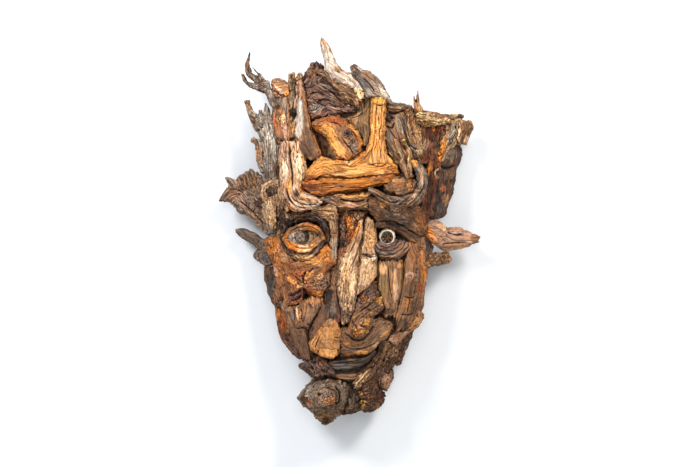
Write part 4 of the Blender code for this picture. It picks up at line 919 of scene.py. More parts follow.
def left_temple():
    dress("temple_root_pale", ROOT, ("brown", "sand", "shell"), finish="worn_smooth", stretch=24.0,
          ridge_width=3.4, ridge_height=1.2, line_height=0.1, crack_share=0.2, wander=0.8, stain=0.3,
          lines=[((-59, 88), (-58, 71), (-57, 57), (-58, 45), (-56, 35), (-50, 28), (-42, 26),
                  (-34, 25.5), (-28, 26.5))], grabs=[(-67, 38, 6, -3.5, 0)],
          cracks=[(1.4, 3, (-61, 88), (-60, 72), (-58, 58), (-57, 40)),
                  (0.8, 1.6, (-60, 36), (-54, 29), (-44, 25), (-32, 25)),
                  (0.8, 1.6, (-64, 44), (-60, 30), (-50, 22.5), (-38, 21))], bumps=[(-53, 36, 4, -1.5)],
          patches=[(-61, 43, 2.6, 10, "honey"), (-65, 56, 4, 11, "shell"), (-50, 62, 3, 14, "cream"),
                   (-46, 74, 3, 9, "buff"), (-67, 80, 4, 11, "rose"), (-60, 22, 7, 2.5, -30, "orange"),
                   (-56, 82, 3, 7, "sand"), (-40, 25, 11, 1.2, "silver"),
                   (-62, 33, 1.6, 9, 10, "mauve"), (-42, 18.5, 8, 1.8, -5, "rust"),
                   (-47, 40, 3, 5, "amber"), (-53, 33, 5, 3, -30, "tan")])
    dress("temple_hook", ROOT, ("walnut", "sand", "peach"), voxel=FINEST, ridge_width=2.4,
          ridge_height=0.6, growth=1.5, crack_share=0.6,
          lines=[((-71, 45), (-80, 45.5), (-86, 41), (-86.5, 36), (-84, 30)),
                 ((-79, 33), (-79.5, 20), (-79, 11), (-78, 3), (-79, -3)),
                 ((-70, 32), (-67, 21), (-67, 10), (-69, 0), (-70, -9))], grabs=[(-71, 33, 4, 0, 3.5)],
          cracks=[(0.5, 1.2, (-78, 16), (-76, 6), (-78, -4)), (0.4, 1, (-83, 22), (-82, 12)),
                  (0.9, 2, (-73, 28), (-73, 10), (-74, -6))],
          patches=[(-80, 16, 5, 13, "peach"), (-82, 22, 2, 8, "cream"), (-68, 12, 4, 20, "umber"),
                   (-66, 26, 6, 3, 40, "brown"), (-82, 45, 6, 3, "sand"), (-80, -2, 3, 6, "grey")])
    dress("temple_panel", WORN, ("umber", "brown", "rose"), crack_share=0.1, stain=0.15,
          patch_noise=0.2,
          lines=[((-49.5, 149), (-48, 131), (-47.5, 115), (-47.5, 100), (-45, 88), (-40, 77),
                  (-35, 70))], grabs=[(-43, 136, 8, 2, 0), (-48, 126, 5, -1, 0)],
          ridges=[(1, 0.8, (-47, 140), (-43, 115), (-37, 95), (-30, 74))],
          patches=[(-50, 111, 4.4, 21, 2, "grey"), (-51, 100, 4, 8, "silver"),
                   (-49, 118, 1.6, 12, 3, "silver"), (-41, 88, 6.5, 17, 14, "walnut"),
                   (-44, 80, 8, 9, "umber"), (-37.5, 102, 1.5, 32, 16, "amber"),
                   (-40, 86, 3, 8, 15, "walnut"), (-50, 140, 2, 10, "rose")])


def crown_middle():
    dress("crown_wing_grey", WORN, ("slate", "stone", "silver"), ridge_height=0.7, lump_height=1.2,
          scale_size=2.6, scale_height=0.3,
          lines=[((2, 163), (7, 158), (14, 153), (20, 145), (26, 137), (33, 133.5), (39, 127))],
          cracks=[(1, 1.6, (13, 152), (20, 145), (25, 137))],
          ridges=[(1.8, 1.4, (4, 160), (11, 150), (18, 139), (22, 133))], crumbs=[(30, 142, 9, 0.4)],
          patches=[(12, 148, 3.5, 13, 38, "slate"), (19, 136, 3, 6, 20, "grey"),
                   (30, 141, 7, 8, 30, "stone"), (33, 138, 3, 7, 30, "silver"),
                   (17, 153, 8, 3.4, -35, "brown"), (4, 163, 3, 3, "walnut"),
                   (8, 158, 4, 3, -40, "umber")])
    dress("crown_horn_white", WORN, ("rose", "silver", "shell"), ridge_height=0.6, lump_height=1.0,
          crack_share=0.2, growth=1.3, splinter=2.0, stain=0.1,
          lines=[((12, 130), (5, 142), (-3, 151), (-12, 155), (-18, 163), (-22, 172), (-24.5, 181),
                  (-27, 189), (-27.5, 193))],
          grabs=[(8, 141, 6, 2.5, 1.5), (-27, 173, 7, 0.4, 0), (-17, 174, 6, 0.6, 0),
                 (-22, 160, 7, -3, 0), (-3, 160, 6, 0.4, -2.4), (-15, 150, 6, -2.4, 0),
                 (-23.5, 191, 4, -1.8, 0), (-31, 189, 4, 0.8, 0)],
          bumps=[(9, 139, 2.2, 1.2), (13, 135, 1.8, 1), (7, 134, 1.8, 1), (11, 131, 1.6, 0.9),
                 (4, 142, 2, -1), (-11, 158, 2, -1.2)], crumbs=[(8, 136, 9, 0.9), (-2, 147, 6, 0.3)],
          patches=[(-15.5, 173, 2.4, 17, 28, "tan"), (-15, 173, 1.2, 16, 28, "brown"),
                   (9, 134, 7, 6, "straw"), (-26, 189, 3, 5, "sand"), (-13, 160, 3, 3, "tan"),
                   (-4, 143, 6, 2, -35, "sand")])
    dress("crown_plank_tan", BOARD, ("umber", "tan", "sand"), finish="close_grained", growth=1.4,
          lines=[((-32, 158), (-23, 154), (-9, 143), (2, 134), (11, 127))],
          patches=[(-20, 153, 8, 2, -40, "rose"), (2, 131, 6, 4, -40, "brown")])
    dress("crown_block_knotted", HEART, ("russet", "chestnut", "honey"), light=0.84,
          finish="worn_smooth", ridge_height=0.05, line_height=0.0, crack_share=0.0, step_height=0.15,
          lump_height=1.4, lump_size=10.0, patch_noise=0.2, stain=0.1,
          lines=[((-38, 105), (-28, 104), (-17, 103), (-10, 94), (-2, 85), (5, 77), (8, 75))],
          knots=[(-2, 96, 4)],
          cracks=[(0.8, 2, (-9, 94), (-5, 86), (1, 79), (3, 73)),
                  (0.7, 1.2, (-22, 108), (-12, 106), (-8, 101)),
                  (0.6, 1.2, (0, 102), (6, 94), (9, 84))],
          bumps=[(-2, 96, 2.2, -1.6), (-13, 80, 7, 1.2), (4, 88, 3, -0.8)],
          crumbs=[(2, 86, 7, 0.6), (-2, 96, 5, 0.5)], rings=[(-2, 96, 6, 2.2, 0.5)],
          patches=[(-14, 108, 12, 4, -15, "rust"), (-31, 96, 4, 8, 20, "orange"),
                   (-2, 92, 6, 15, 33, "brown"), (-20, 94, 6.5, 14, 33, "corn"),
                   (-12, 79, 7.5, 10, 25, "apricot"), (3, 82, 4, 7, 20, "taupe"),
                   (-2, 96, 4, 4, "umber"), (6, 100, 3, 11, 38, "honey"), (12, 90, 2, 6, 10, "amber"),
                   # The maroon patch at (-33, 92) is painted shade in the recess at the block's left
                   # side.
                   (-33, 92, 3, 6, "maroon")])
    dress("crown_sheet_olive", WORN, ("umber", "olive", "tan"), crack_share=0.3, ridge_height=0.5,
          lines=[((16, 138), (15, 118), (12, 108), (14, 95), (15, 84))],
          cracks=[(0.8, 1.4, (14, 135), (14, 120)), (0.8, 1.4, (-2, 111), (8, 113), (14, 118))],
          ridges=[(1.2, 1.2, (-3, 110), (7, 112), (12, 117))],
          patches=[(20, 110, 2, 20, "umber"), (5, 109, 5, 3, 20, "tan")])
    dress("crown_block_dark", BOARD, ("umber", "mauve", "rose"), light=1.22, finish="close_grained",
          crack_share=0.5, ridge_height=0.7, stretch=10.0, ridge_width=2.4, stain=0.2, growth=1.4,
          lines=[((-37, 167), (-35, 155), (-39, 146)),
                 ((-46, 140), (-38, 141), (-28, 138), (-15, 133), (-2, 124), (10, 120)),
                 ((-42, 122), (-34, 118), (-24, 124), (-14, 122), (4, 119))],
          grabs=[(-33, 166, 6, 0, 2.5), (-44, 140, 7, -1, 0), (-43, 130, 9, -2.5, 0)],
          cracks=[(1, 1.6, (-42, 136), (-32, 137), (-24, 134)),
                  (1, 1.8, (-30, 145), (-18, 138), (-6, 126)),
                  (0.8, 1.4, (-36, 129), (-26, 124), (-20, 126), (-12, 120))],
          patches=[(-36, 158, 4, 8, "walnut"), (-36, 122, 8, 4, -10, "grey"),
                   (-10, 128, 9, 3, -35, "brown"), (-24, 143, 6, 3, -20, "taupe")])


def crown_left():
    dress("crown_stick_split", BOARD, ("brown", "sand", "straw"), finish="close_grained",
          crack_share=0.6, splinter=3.0, growth=1.5, stain=0.2,
          lines=[((-54, 144), (-55, 126), (-56, 108), (-56, 92)), ((-58, 142), (-58, 150), (-59, 158)),
                 ((-51, 142), (-50, 150), (-50, 157))],
          grabs=[(-51.5, 150, 4, -1.5, 0), (-57.5, 150, 3, 1, 0)],
          cracks=[(1, 2, (-55, 155), (-55, 130))], bumps=[(-57, 115, 3.5, -2.5)],
          patches=[(-57, 116, 4, 6, "char"), (-57, 136, 3, 12, "taupe"), (-51, 140, 2, 9, "rose"),
                   (-55, 100, 4, 5, "honey")])
    dress("crown_root_fork", TWIG, ("umber", "taupe", "silver"), voxel=FINEST, ridge_height=0.5,
          lines=[((-74, 124), (-80, 134), (-84, 145), (-93, 150), (-101, 157), (-104, 166), (-102, 173),
                  (-101, 179)),  ((-82, 141), (-94, 144), (-102, 146), (-106, 152), (-108, 157)),
                 ((-88, 149), (-93, 158), (-98, 164))],
          grabs=[(-82, 147, 6, 0, 2.4), (-90, 155, 4, 1, 1)],
          patches=[(-80, 140, 4, 8, 30, "grey"), (-103, 168, 2, 6, "brown")])
    dress("temple_root_silver", ROOT, ("stone", "grey", "bone"), crack_share=0.4, ridge_height=0.8,
          ridge_width=2.8, line_height=0.14, growth=0.7, stain=0.15,
          lines=[((-86, 113), (-84, 99), (-80, 87), (-80, 72), (-78, 43), (-78, 33)),
                 ((-90, 104), (-97, 113), (-101, 121), (-104, 130)),
                 ((-83, 110), (-84, 120), (-86, 128)), ((-90, 108), (-91, 121)),
                 ((-98, 92), (-91, 86), (-91, 74), (-87, 58))],
          grabs=[(-86, 121, 5, 1.2, 0), (-92, 88, 5, 1.4, 0)],
          patches=[(-103, 126, 4, 7, 20, "tan"), (-93, 78, 4, 14, 10, "tan"),
                   (-78, 92, 3, 16, "silver"), (-73, 58, 3, 10, "walnut"), (-82, 50, 5, 10, "taupe"),
                   # The umber patch at (-77, 37), inside the hook of temple_hook, is painted shade.
                   (-98, 110, 3, 6, 30, "brown"), (-77, 37, 7, 7, "umber")])
    dress("temple_bark_rust", SMOOTH, ("walnut", "chestnut", "rose"), growth=1.4, lump_height=1.6,
          lump_size=8.0, ridge_height=0.4,
          lines=[((-78, 141), (-70, 142), (-61, 141)),
                 ((-69, 138), (-68, 126), (-68, 112), (-68, 100), (-66, 84))],
          grabs=[(-74, 149, 6, -3, 2)],
          cracks=[(0.8, 1.8, (-78, 140), (-70, 137), (-62, 134)),
                  (0.6, 1.2, (-62, 130), (-64, 116), (-62, 100))],
          bumps=[(-67, 111, 2.5, 1.2), (-72, 118, 2.5, 1), (-65, 103, 2.5, 1)],
          crumbs=[(-69, 108, 9, 0.5), (-70, 88, 5, 0.6)], rings=[(-67, 111, 8, 3.2, 0.35)],
          patches=[(-70, 146, 9, 5, -20, "tan"), (-71, 141, 8, 1.5, -38, "shell"),
                   (-64, 137, 3, 2, "honey"), (-67, 112, 3.4, 5, "peach"), (-64, 97, 3, 8, "rose"),
                   (-71, 129, 6, 5, "taupe"), (-65, 124, 3, 9, "stone"), (-68, 89, 4, 3, "umber"),
                   (-75, 104, 2.4, 10, "rust")])


def crown_right():
    dress("temple_strips_tan", ROOT, ("umber", "tan", "sand"), ridge_width=2.0, ridge_height=0.7,
          stretch=18.0,
          lines=[((46, 90), (48, 82), (52, 74), (52, 66), (55, 58), (58, 51)),
                 ((52, 90), (57, 82), (60, 75), (58, 68), (60, 52))],
          patches=[(52, 91, 2, 5, "gold"), (44, 89, 2, 5, "honey"), (50, 76, 1.2, 8, 20, "straw"),
                   (58, 74, 1.2, 8, "straw")])
    dress("crown_block_brown", BOARD, ("walnut", "brown", "straw"), light=1.16, finish="close_grained",
          crack_share=0.5, ridge_height=0.5, stain=0.2, line_width=1.5, line_height=0.25, stretch=18.0,
          lines=[((40, 126), (50, 125), (60, 126)),
                 ((38, 116), (46, 112), (50, 100), (55, 88), (62, 78)),
                 ((66, 120), (62, 108), (66, 92), (70, 80))], grabs=[(61, 127, 6, 0, -2)],
          cracks=[(1.2, 2.2, (36, 119), (42, 116), (50, 118), (58, 121)),
                  (1.2, 2, (35, 104), (42, 102), (44, 108)), (1, 1.6, (54, 88), (62, 83), (70, 80))],
          bumps=[(42, 111, 2.5, -0.8)],
          patches=[(48, 125, 12, 2.5, "taupe"), (40, 112, 6, 7, "umber"), (63, 82, 8, 3, -22, "grey"),
                   (51, 106, 7, 9, "stone"), (64, 104, 6, 12, "tan"), (58, 71, 14, 5, "walnut"),
                   (39, 92, 5, 8, "taupe")])
    dress("side_plank_orange", BOARD, ("brown", "sand", "cream"), crack_share=0.4, growth=1.5,
          stretch=20.0, patch_noise=0.15,
          lines=[((104, 112), (102, 98), (98, 87), (93, 78), (90, 68)),
                 ((114, 111), (116, 102), (113, 86))],
          cracks=[(0.9, 1.6, (106, 110), (106, 98), (100, 84), (93, 72))],
          ridges=[(1.2, 0.9, (103, 108), (97, 92), (91, 74))],
          patches=[(95, 86, 3.2, 20, -24, "honey"), (92, 76, 2.4, 9, -20, "orange"),
                   (103, 98, 3.6, 14, -24, "silver"), (99, 87, 1.2, 14, -24, "taupe"),
                   (117, 103, 6, 8, "brown"), (113, 94, 3, 8, -20, "brown")])
    dress("crown_log_tan", BOARD, ("tan", "straw", "cream"), finish="close_grained", ridge_height=0.4,
          stain=0.2, stretch=18.0, splinter=1.5,
          lines=[((66, 112), (76, 112), (88, 111), (99, 111), (110, 113), (114, 114))],
          cracks=[(0.8, 1.2, (70, 107), (80, 109), (92, 107))],
          patches=[(74, 109, 7, 3, -8, "buff"), (90, 114, 12, 2, "brown"), (111, 114, 4, 3, "umber")])
    dress("crown_twig_fork", TWIG, ("maroon", "brown", "honey"), voxel=FINEST, ridge_height=0.4,
          lines=[((69, 118), (69, 126), (69, 132), (68, 140)), ((66, 120), (65, 128), (64, 134)),
                 ((79, 119), (82, 104), (81, 80), (77, 66))],
          grabs=[(73, 127, 4, -2.5, 0), (71, 134, 4, -1.2, 0)],
          cracks=[(0.8, 2.5, (65.6, 137), (66, 131), (66.5, 126))],
          patches=[(69, 128, 6, 10, "tan"), (70, 121, 4, 3, "buff"), (80, 98, 7, 7, "maroon"),
                   (84, 101, 2, 3, "orange"), (74, 85, 5, 5, "rose"), (68, 133, 2, 6, "tan"),
                   (78, 72, 6, 5, "russet"), (88, 92, 2, 12, -14, "olive"),
                   (86, 84, 1.6, 8, -24, "tan")])
    dress("side_strips", ROOT, ("soot", "russet", "walnut"), light=0.88, ridge_width=2.6, stretch=18.0,
          growth=1.4,
          lines=[((90, 104), (86, 91), (81, 79), (85, 66), (82, 54), (77, 28), (74, 16), (72, 7))],
          cracks=[(0.5, 0.8, *circle(88, 57, 5))], bumps=[(88, 57, 1.8, -3)],
          patches=[(88, 57, 4, 6, -20, "sand"), (88, 57, 2.4, 4, -20, "soot"),
                   (79, 60, 2.6, 7, -14, "amber"), (79, 42, 3, 14, "umber"),
                   (71, 32, 2.4, 16, -6, "maroon"), (84, 90, 3, 10, 15, "umber"),
                   (72, 14, 3, 8, "brown")])
    dress("side_slab_dark", WORN, ("char", "umber", "walnut"), lump_size=8.0, lump_height=2.2,
          growth=2.0, crack_share=0.45, ridge_height=0.6,
          lines=[((102, 102), (100, 81), (98, 70), (94, 57), (90, 30), (88, 18), (84, 11))],
          grabs=[(106, 74, 9, 3, 0), (100, 36, 12, 2, 0)],
          cracks=[(1.6, 2.4, (90, 65), (97, 62), (107, 66))],
          bumps=[(93, 38, 5, 1.6), (100, 54, 5, 1.4)],
          patches=[(98, 54, 5, 6, 20, "walnut"), (96, 31, 4, 6, 10, "tan"), (101, 78, 7, 9, "taupe"),
                   (86, 40, 3, 14, "soot"), (90, 22, 4, 5, "slate"), (92, 42, 3, 4, "rust")])


def ears():
    dress("ear_right_spike", SMOOTH, ("brown", "rose", "sand"), light=0.9, ridge_height=0.5,
          lump_height=1.4, stretch=13.0, growth=2.2,
          lines=[((73, 4), (87, -3), (97, -10), (109, -9), (120, -9), (130, -9))],
          cracks=[(0.9, 1.4, (96, -2), (106, -5), (114, -4)),
                  (0.6, 1, (90, -14), (105, -13), (120, -12))],
          patches=[(78, -2, 4, 13, 40, "orange"), (110, -5, 5, 1.6, "taupe"),
                   (104, -14, 10, 2.4, 5, "tan"), (92, 3, 5, 4, "peach"), (126, -9, 5, 4, "brown")])
    dress("ear_right_lower", ROOT, ("walnut", "tan", "sand"), ridge_height=0.5,
          lines=[((74, -32), (84, -30), (99, -28), (102, -30)), ((75, -6), (79, -17), (77, -28))],
          patches=[(79, -14, 5, 8, "slate"), (96, -24, 3, 2, "straw"), (80, -38, 6, 2.5, "rust")])
    dress("ear_left_leaf", ROOT, ("walnut", "stone", "rose"), ridge_height=0.7, ridge_width=3.0,
          stain=0.25, line_height=0.14,
          lines=[((-81, 14), (-94, 23), (-104, 31), (-112, 38), (-120, 38), (-127, 34), (-132, 30)),
                 ((-117, 44), (-121, 50), (-125, 53))], grabs=[(-112, 22, 10, -4, -6.5)],
          cracks=[(0.9, 1.6, (-84, 4), (-94, 14), (-104, 24), (-114, 31))],
          patches=[(-95, 11, 13, 2.4, -42, "rose"), (-108, 42, 7, 4, 20, "umber"),
                   (-118, 38, 5, 4, "brown"), (-90, 26, 6, 8, 30, "umber")])
    dress("ear_left_fin", ROOT, ("umber", "stone", "rose"), ridge_width=3.2, ridge_height=1.2,
          growth=1.6,
          lines=[((-101, 60), (-97, 48), (-90, 38))], grabs=[(-108, 49, 6, -4, -0.5)],
          patches=[(-95, 46, 3, 9, 20, "tan"), (-104, 50, 5, 5, "brown")])
    dress("ear_left_blade", WORN, ("soot", "taupe", "stone"), light=0.84, ridge_height=0.5,
          lines=[((-115, 0), (-108, -4), (-98, -8), (-91, -14), (-82, -18)),
                 ((-97, -24), (-91, -25), (-84, -28), (-76, -30))],
          grabs=[(-99, -19, 5, 2, 0), (-106, 6, 4, 0, -1.5)],
          patches=[(-104, -5, 8, 4, -20, "taupe"), (-84, -27, 6, 5, "slate")])


def cheeks():
    dress("cheek_left_amber", HEART, ("russet", "chestnut", "tawny"), light=0.85, finish="worn_smooth",
          lump_size=9.0, lump_height=1.3, stretch=7.0, crack_share=0.2, ridge_height=0.2,
          line_height=0.08, stain=0.25,
          lines=[((-78, -7), (-75, -20), (-68, -33), (-60, -50), (-57, -64), (-55, -76)),
                 ((-62, -42), (-31, -38), (-24, -28), (-13, -31)),
                 ((-46, -52), (-30, -55), (-20, -49))],
          cracks=[(1.1, 2, (-44, -40), (-47, -48), (-45, -56)), (0.9, 1.4, (-42, -43), (-36, -37)),
                  (1.4, 1.8, (-63, -66), (-55, -64), (-47, -58)),
                  (1.2, 1.8, (-60, -71), (-53, -69), (-46, -64)), (0.8, 1.2, (-56, -46), (-48, -52))],
          bumps=[(-30, -44, 2.2, 1.1), (-24, -46, 2, 1), (-28, -51, 2.2, 1.1), (-22, -53, 2, -1),
                 (-31, -57, 2, 0.9), (-35, -49, 2, 0.9), (-27, -62, 2.4, -1.2)],
          crumbs=[(-28, -53, 11, 1.3), (-48, -48, 11, 1), (-55, -68, 9, 1.1), (-24, -28, 6, 0.3),
                  (-72, -20, 8, 0.25)],
          patches=[(-76, -15, 6, 11, 10, "amber"), (-24, -24, 7, 9, -20, "amber"),
                   (-65, -29, 3, 4, "tan"), (-52, -46, 9, 7, "rust"), (-41, -44, 5, 2.5, 40, "honey"),
                   (-58, -50, 5, 2.2, -40, "honey"), (-50, -55, 4, 2, 40, "buff"),
                   # The maroon patch at (-54, -65) is painted shade in the dark hole there.
                   (-54, -65, 9, 4.6, 25, "maroon"), (-28, -52, 8, 10, "brown"),
                   (-30, -46, 4, 3, "buff"), (-72, -38, 4, 12, 10, "amber"),
                   (-36, -66, 10, 5, 20, "amber"), (-77, -52, 4, 17, -14, "rose"),
                   (-20, -54, 5, 5, "mauve"), (-36, -31, 10, 4, -10, "honey"),
                   (-42, -60, 5, 4, "russet")])
    dress("cheek_left_lower", SMOOTH, ("umber", "walnut", "wheat"), lump_height=1.3, growth=1.5,
          lines=[((-47, -66), (-45, -78), (-47, -89), (-48, -98))],
          cracks=[(1.3, 2.4, (-25, -75), (-33, -85), (-39, -96), (-46, -98)),
                  (0.6, 1.2, (-49, -76), (-48, -88), (-46, -94)), (0.6, 1.2, (-56, -78), (-55, -92))],
          ridges=[(1.4, 1.6, (-53, -72), (-52, -84), (-49, -94)),
                  (1.2, 1, (-58, -74), (-57, -86), (-53, -98))],
          crumbs=[(-50, -86, 6, 0.4), (-40, -73, 5, 0.7)],
          patches=[(-38, -70, 10, 4, 15, "tawny"), (-52, -83, 1.1, 8, 6, "sand"),
                   (-40, -73, 2.4, 2.4, "maroon"), (-44, -95, 6, 4, "walnut"),
                   (-57, -84, 3, 9, -10, "taupe"), (-40, -84, 5, 7, -20, "brown")])
    dress("cheek_right_board", SMOOTH, ("walnut", "brown", "tawny"), light=0.87, stretch=20.0,
          ridge_height=0.5, wander=2.2,
          lines=[((64, -6), (62, -16), (68, -28), (66, -40), (64, -52), (61, -66), (58, -80),
                  (52, -102))], knots=[(59, -46, 2.5)],
          cracks=[(0.8, 1.4, (53, -66), (60, -68), (66, -66)), (0.6, 1.2, (60, -67), (57, -84)),
                  (0.9, 1.5, (50, -84), (58, -85), (64, -83)), (0.6, 1, (66, -54), (64, -64))],
          ridges=[(2.2, 1, (54, -46), (62, -44), (68, -46))],
          patches=[(64, -20, 9, 16, 8, "chestnut"), (72, -36, 3, 16, 5, "amber"),
                   (60, -45, 6, 3, "rose"), (62, -58, 9, 8, "walnut"), (57, -75, 2, 8, -8, "amber"),
                   (66, -76, 6, 8, "walnut"), (70, -57, 3, 6, "rust"), (52, -95, 6, 8, "umber")])
    dress("cheek_right_pale", SMOOTH, ("walnut", "brown", "sand"), light=0.9, crack_share=0.3,
          stretch=20.0,
          lines=[((40, -30), (41, -44), (40, -57), (40, -66), (42, -78), (40, -88))],
          cracks=[(0.7, 1.2, (38, -33), (39, -50), (42, -70))],
          ridges=[(1.6, 0.9, (45, -36), (45, -55), (44, -75))],
          patches=[(33, -38, 4, 7, "buff"), (45, -54, 2.4, 18, 3, "sand"), (33, -55, 4, 12, "olive"),
                   (49, -34, 3, 3, "honey"), (52, -50, 3, 12, "olive"), (38, -82, 6, 5, "umber")])


def mouth():
    dress("lip_upper_yellow", SMOOTH, ("brown", "tawny", "wheat"), light=0.9, ridge_height=0.1,
          lump_height=0.7, splinter=2.5, crack_share=0.1, growth=1.4, stain=0.12,
          lines=[((-18, -90), (-20, -98), (-22, -107), (-22, -118), (-20, -128)),
                 ((-30, -100), (-36, -112), (-38, -122))],
          grabs=[(-28, -99, 6, -2.5, 0), (-11, -100, 6, 2.5, 0), (-18, -88, 6, 0, 2)],
          cracks=[(0.4, 0.7, (-31, -117.5), (-25, -116.5), (-19, -118), (-13, -117)),
                  (0.5, 1.2, (-29, -103), (-33, -112), (-35, -118)), (0.4, 1, (-33, -106), (-38, -115)),
                  (0.4, 0.9, (-27, -106), (-30, -114)), (0.9, 3, (-32, -119), (-32, -126)),
                  (1, 3, (-12, -117), (-11, -127)), (0.6, 1.4, (-16, -106), (-10, -107))],
          ridges=[(1.6, 0.8, (-30, -119), (-22, -118), (-14, -119))],
          patches=[(-22, -122, 10, 5, "corn"), (-20, -103, 7, 9, "wheat"),
                   (-36, -112, 5, 8, 20, "wheat"), (-13, -114, 3, 4, "wheat"),
                   (-28, -106, 2, 6, 20, "honey"), (-20, -91, 4, 4, "tan")])
    dress("lip_plate_brown", SMOOTH, ("walnut", "brown", "tan"), light=0.88, crack_share=0.1,
          lump_height=1.2, growth=1.4,
          lines=[((-10, -112), (0, -113), (10, -112), (20, -108), (30, -101), (42, -95))],
          # The first crack, along the nose's lower edge, is painted shadow under the nose tip.
          cracks=[(1.5, 2, (-8, -99), (-2, -105), (6, -109.5), (14, -108), (20, -100), (27, -91)),
                  (2.2, 2.4, (23, -90), (32, -87), (43, -89)),
                  (0.8, 1.4, (-9, -115), (4, -118), (18, -116), (28, -110))],
          ridges=[(2.2, 1.2, (-6, -121), (8, -121), (22, -118), (33, -108))],
          patches=[(33, -100, 7, 5, 30, "tan"), (34, -103, 5, 1.4, 35, "honey"),
                   (-3, -124, 3.5, 1.6, "orange"), (12, -121, 9, 2, 4, "honey"),
                   (10, -124.5, 7, 1.3, "maroon"), (8, -103, 12, 5, "brown"), (-4, -112, 4, 2, "honey"),
                   (4, -118, 12, 1.2, 2, "mauve"), (24, -113, 4, 2.4, 30, "sand")])
    dress("jaw_right_strip", SMOOTH, ("walnut", "tawny", "tan"), light=0.85, growth=1.4,
          lines=[((70, -81), (70, -88), (64, -97), (54, -100), (47, -108), (40, -112))],
          cracks=[(0.6, 1, (72, -90), (62, -99), (56, -101))],
          patches=[(67, -90, 5, 6, 40, "buff"), (42, -111, 5, 4, "rose"), (52, -104, 6, 3, 40, "tan")])
    dress("chin_strip_pale", BOARD, ("umber", "brown", "sand"), finish="close_grained", splinter=3.0,
          growth=1.3, crack_share=0.6,
          lines=[((4, -156), (10, -150), (17, -142), (25, -132), (31, -121), (34, -110))],
          cracks=[(0.4, 1.2, (6, -152), (14, -143), (22, -134)),
                  (0.4, 1.2, (8, -156), (16, -147), (24, -137))],
          patches=[(11, -147, 11, 1, 48, "cream"), (14, -149, 10, 0.9, 48, "straw"),
                   (30, -118, 4, 8, -20, "umber")])
    dress("lips_lower", WORN, ("char", "soot", "walnut"), ridge_height=0.6, crack_share=0.4, growth=1.3,
          lines=[((-20, -133), (-12, -134), (0, -134), (10, -132), (18, -128), (26, -122)),
                 ((-18, -142), (-6, -144), (4, -144), (14, -138), (24, -130), (34, -116))],
          cracks=[(0.8, 1.2, (-14, -132), (0, -131), (14, -128))],
          patches=[(0, -134, 7, 0.9, 8, "taupe"), (-8, -136, 8, 3, "slate"),
                   (12, -131, 7, 3, 15, "soot"), (-4, -146, 12, 3, "brown"),
                   (14, -142, 8, 3, 40, "brown"), (30, -122, 4, 8, -20, "walnut")])


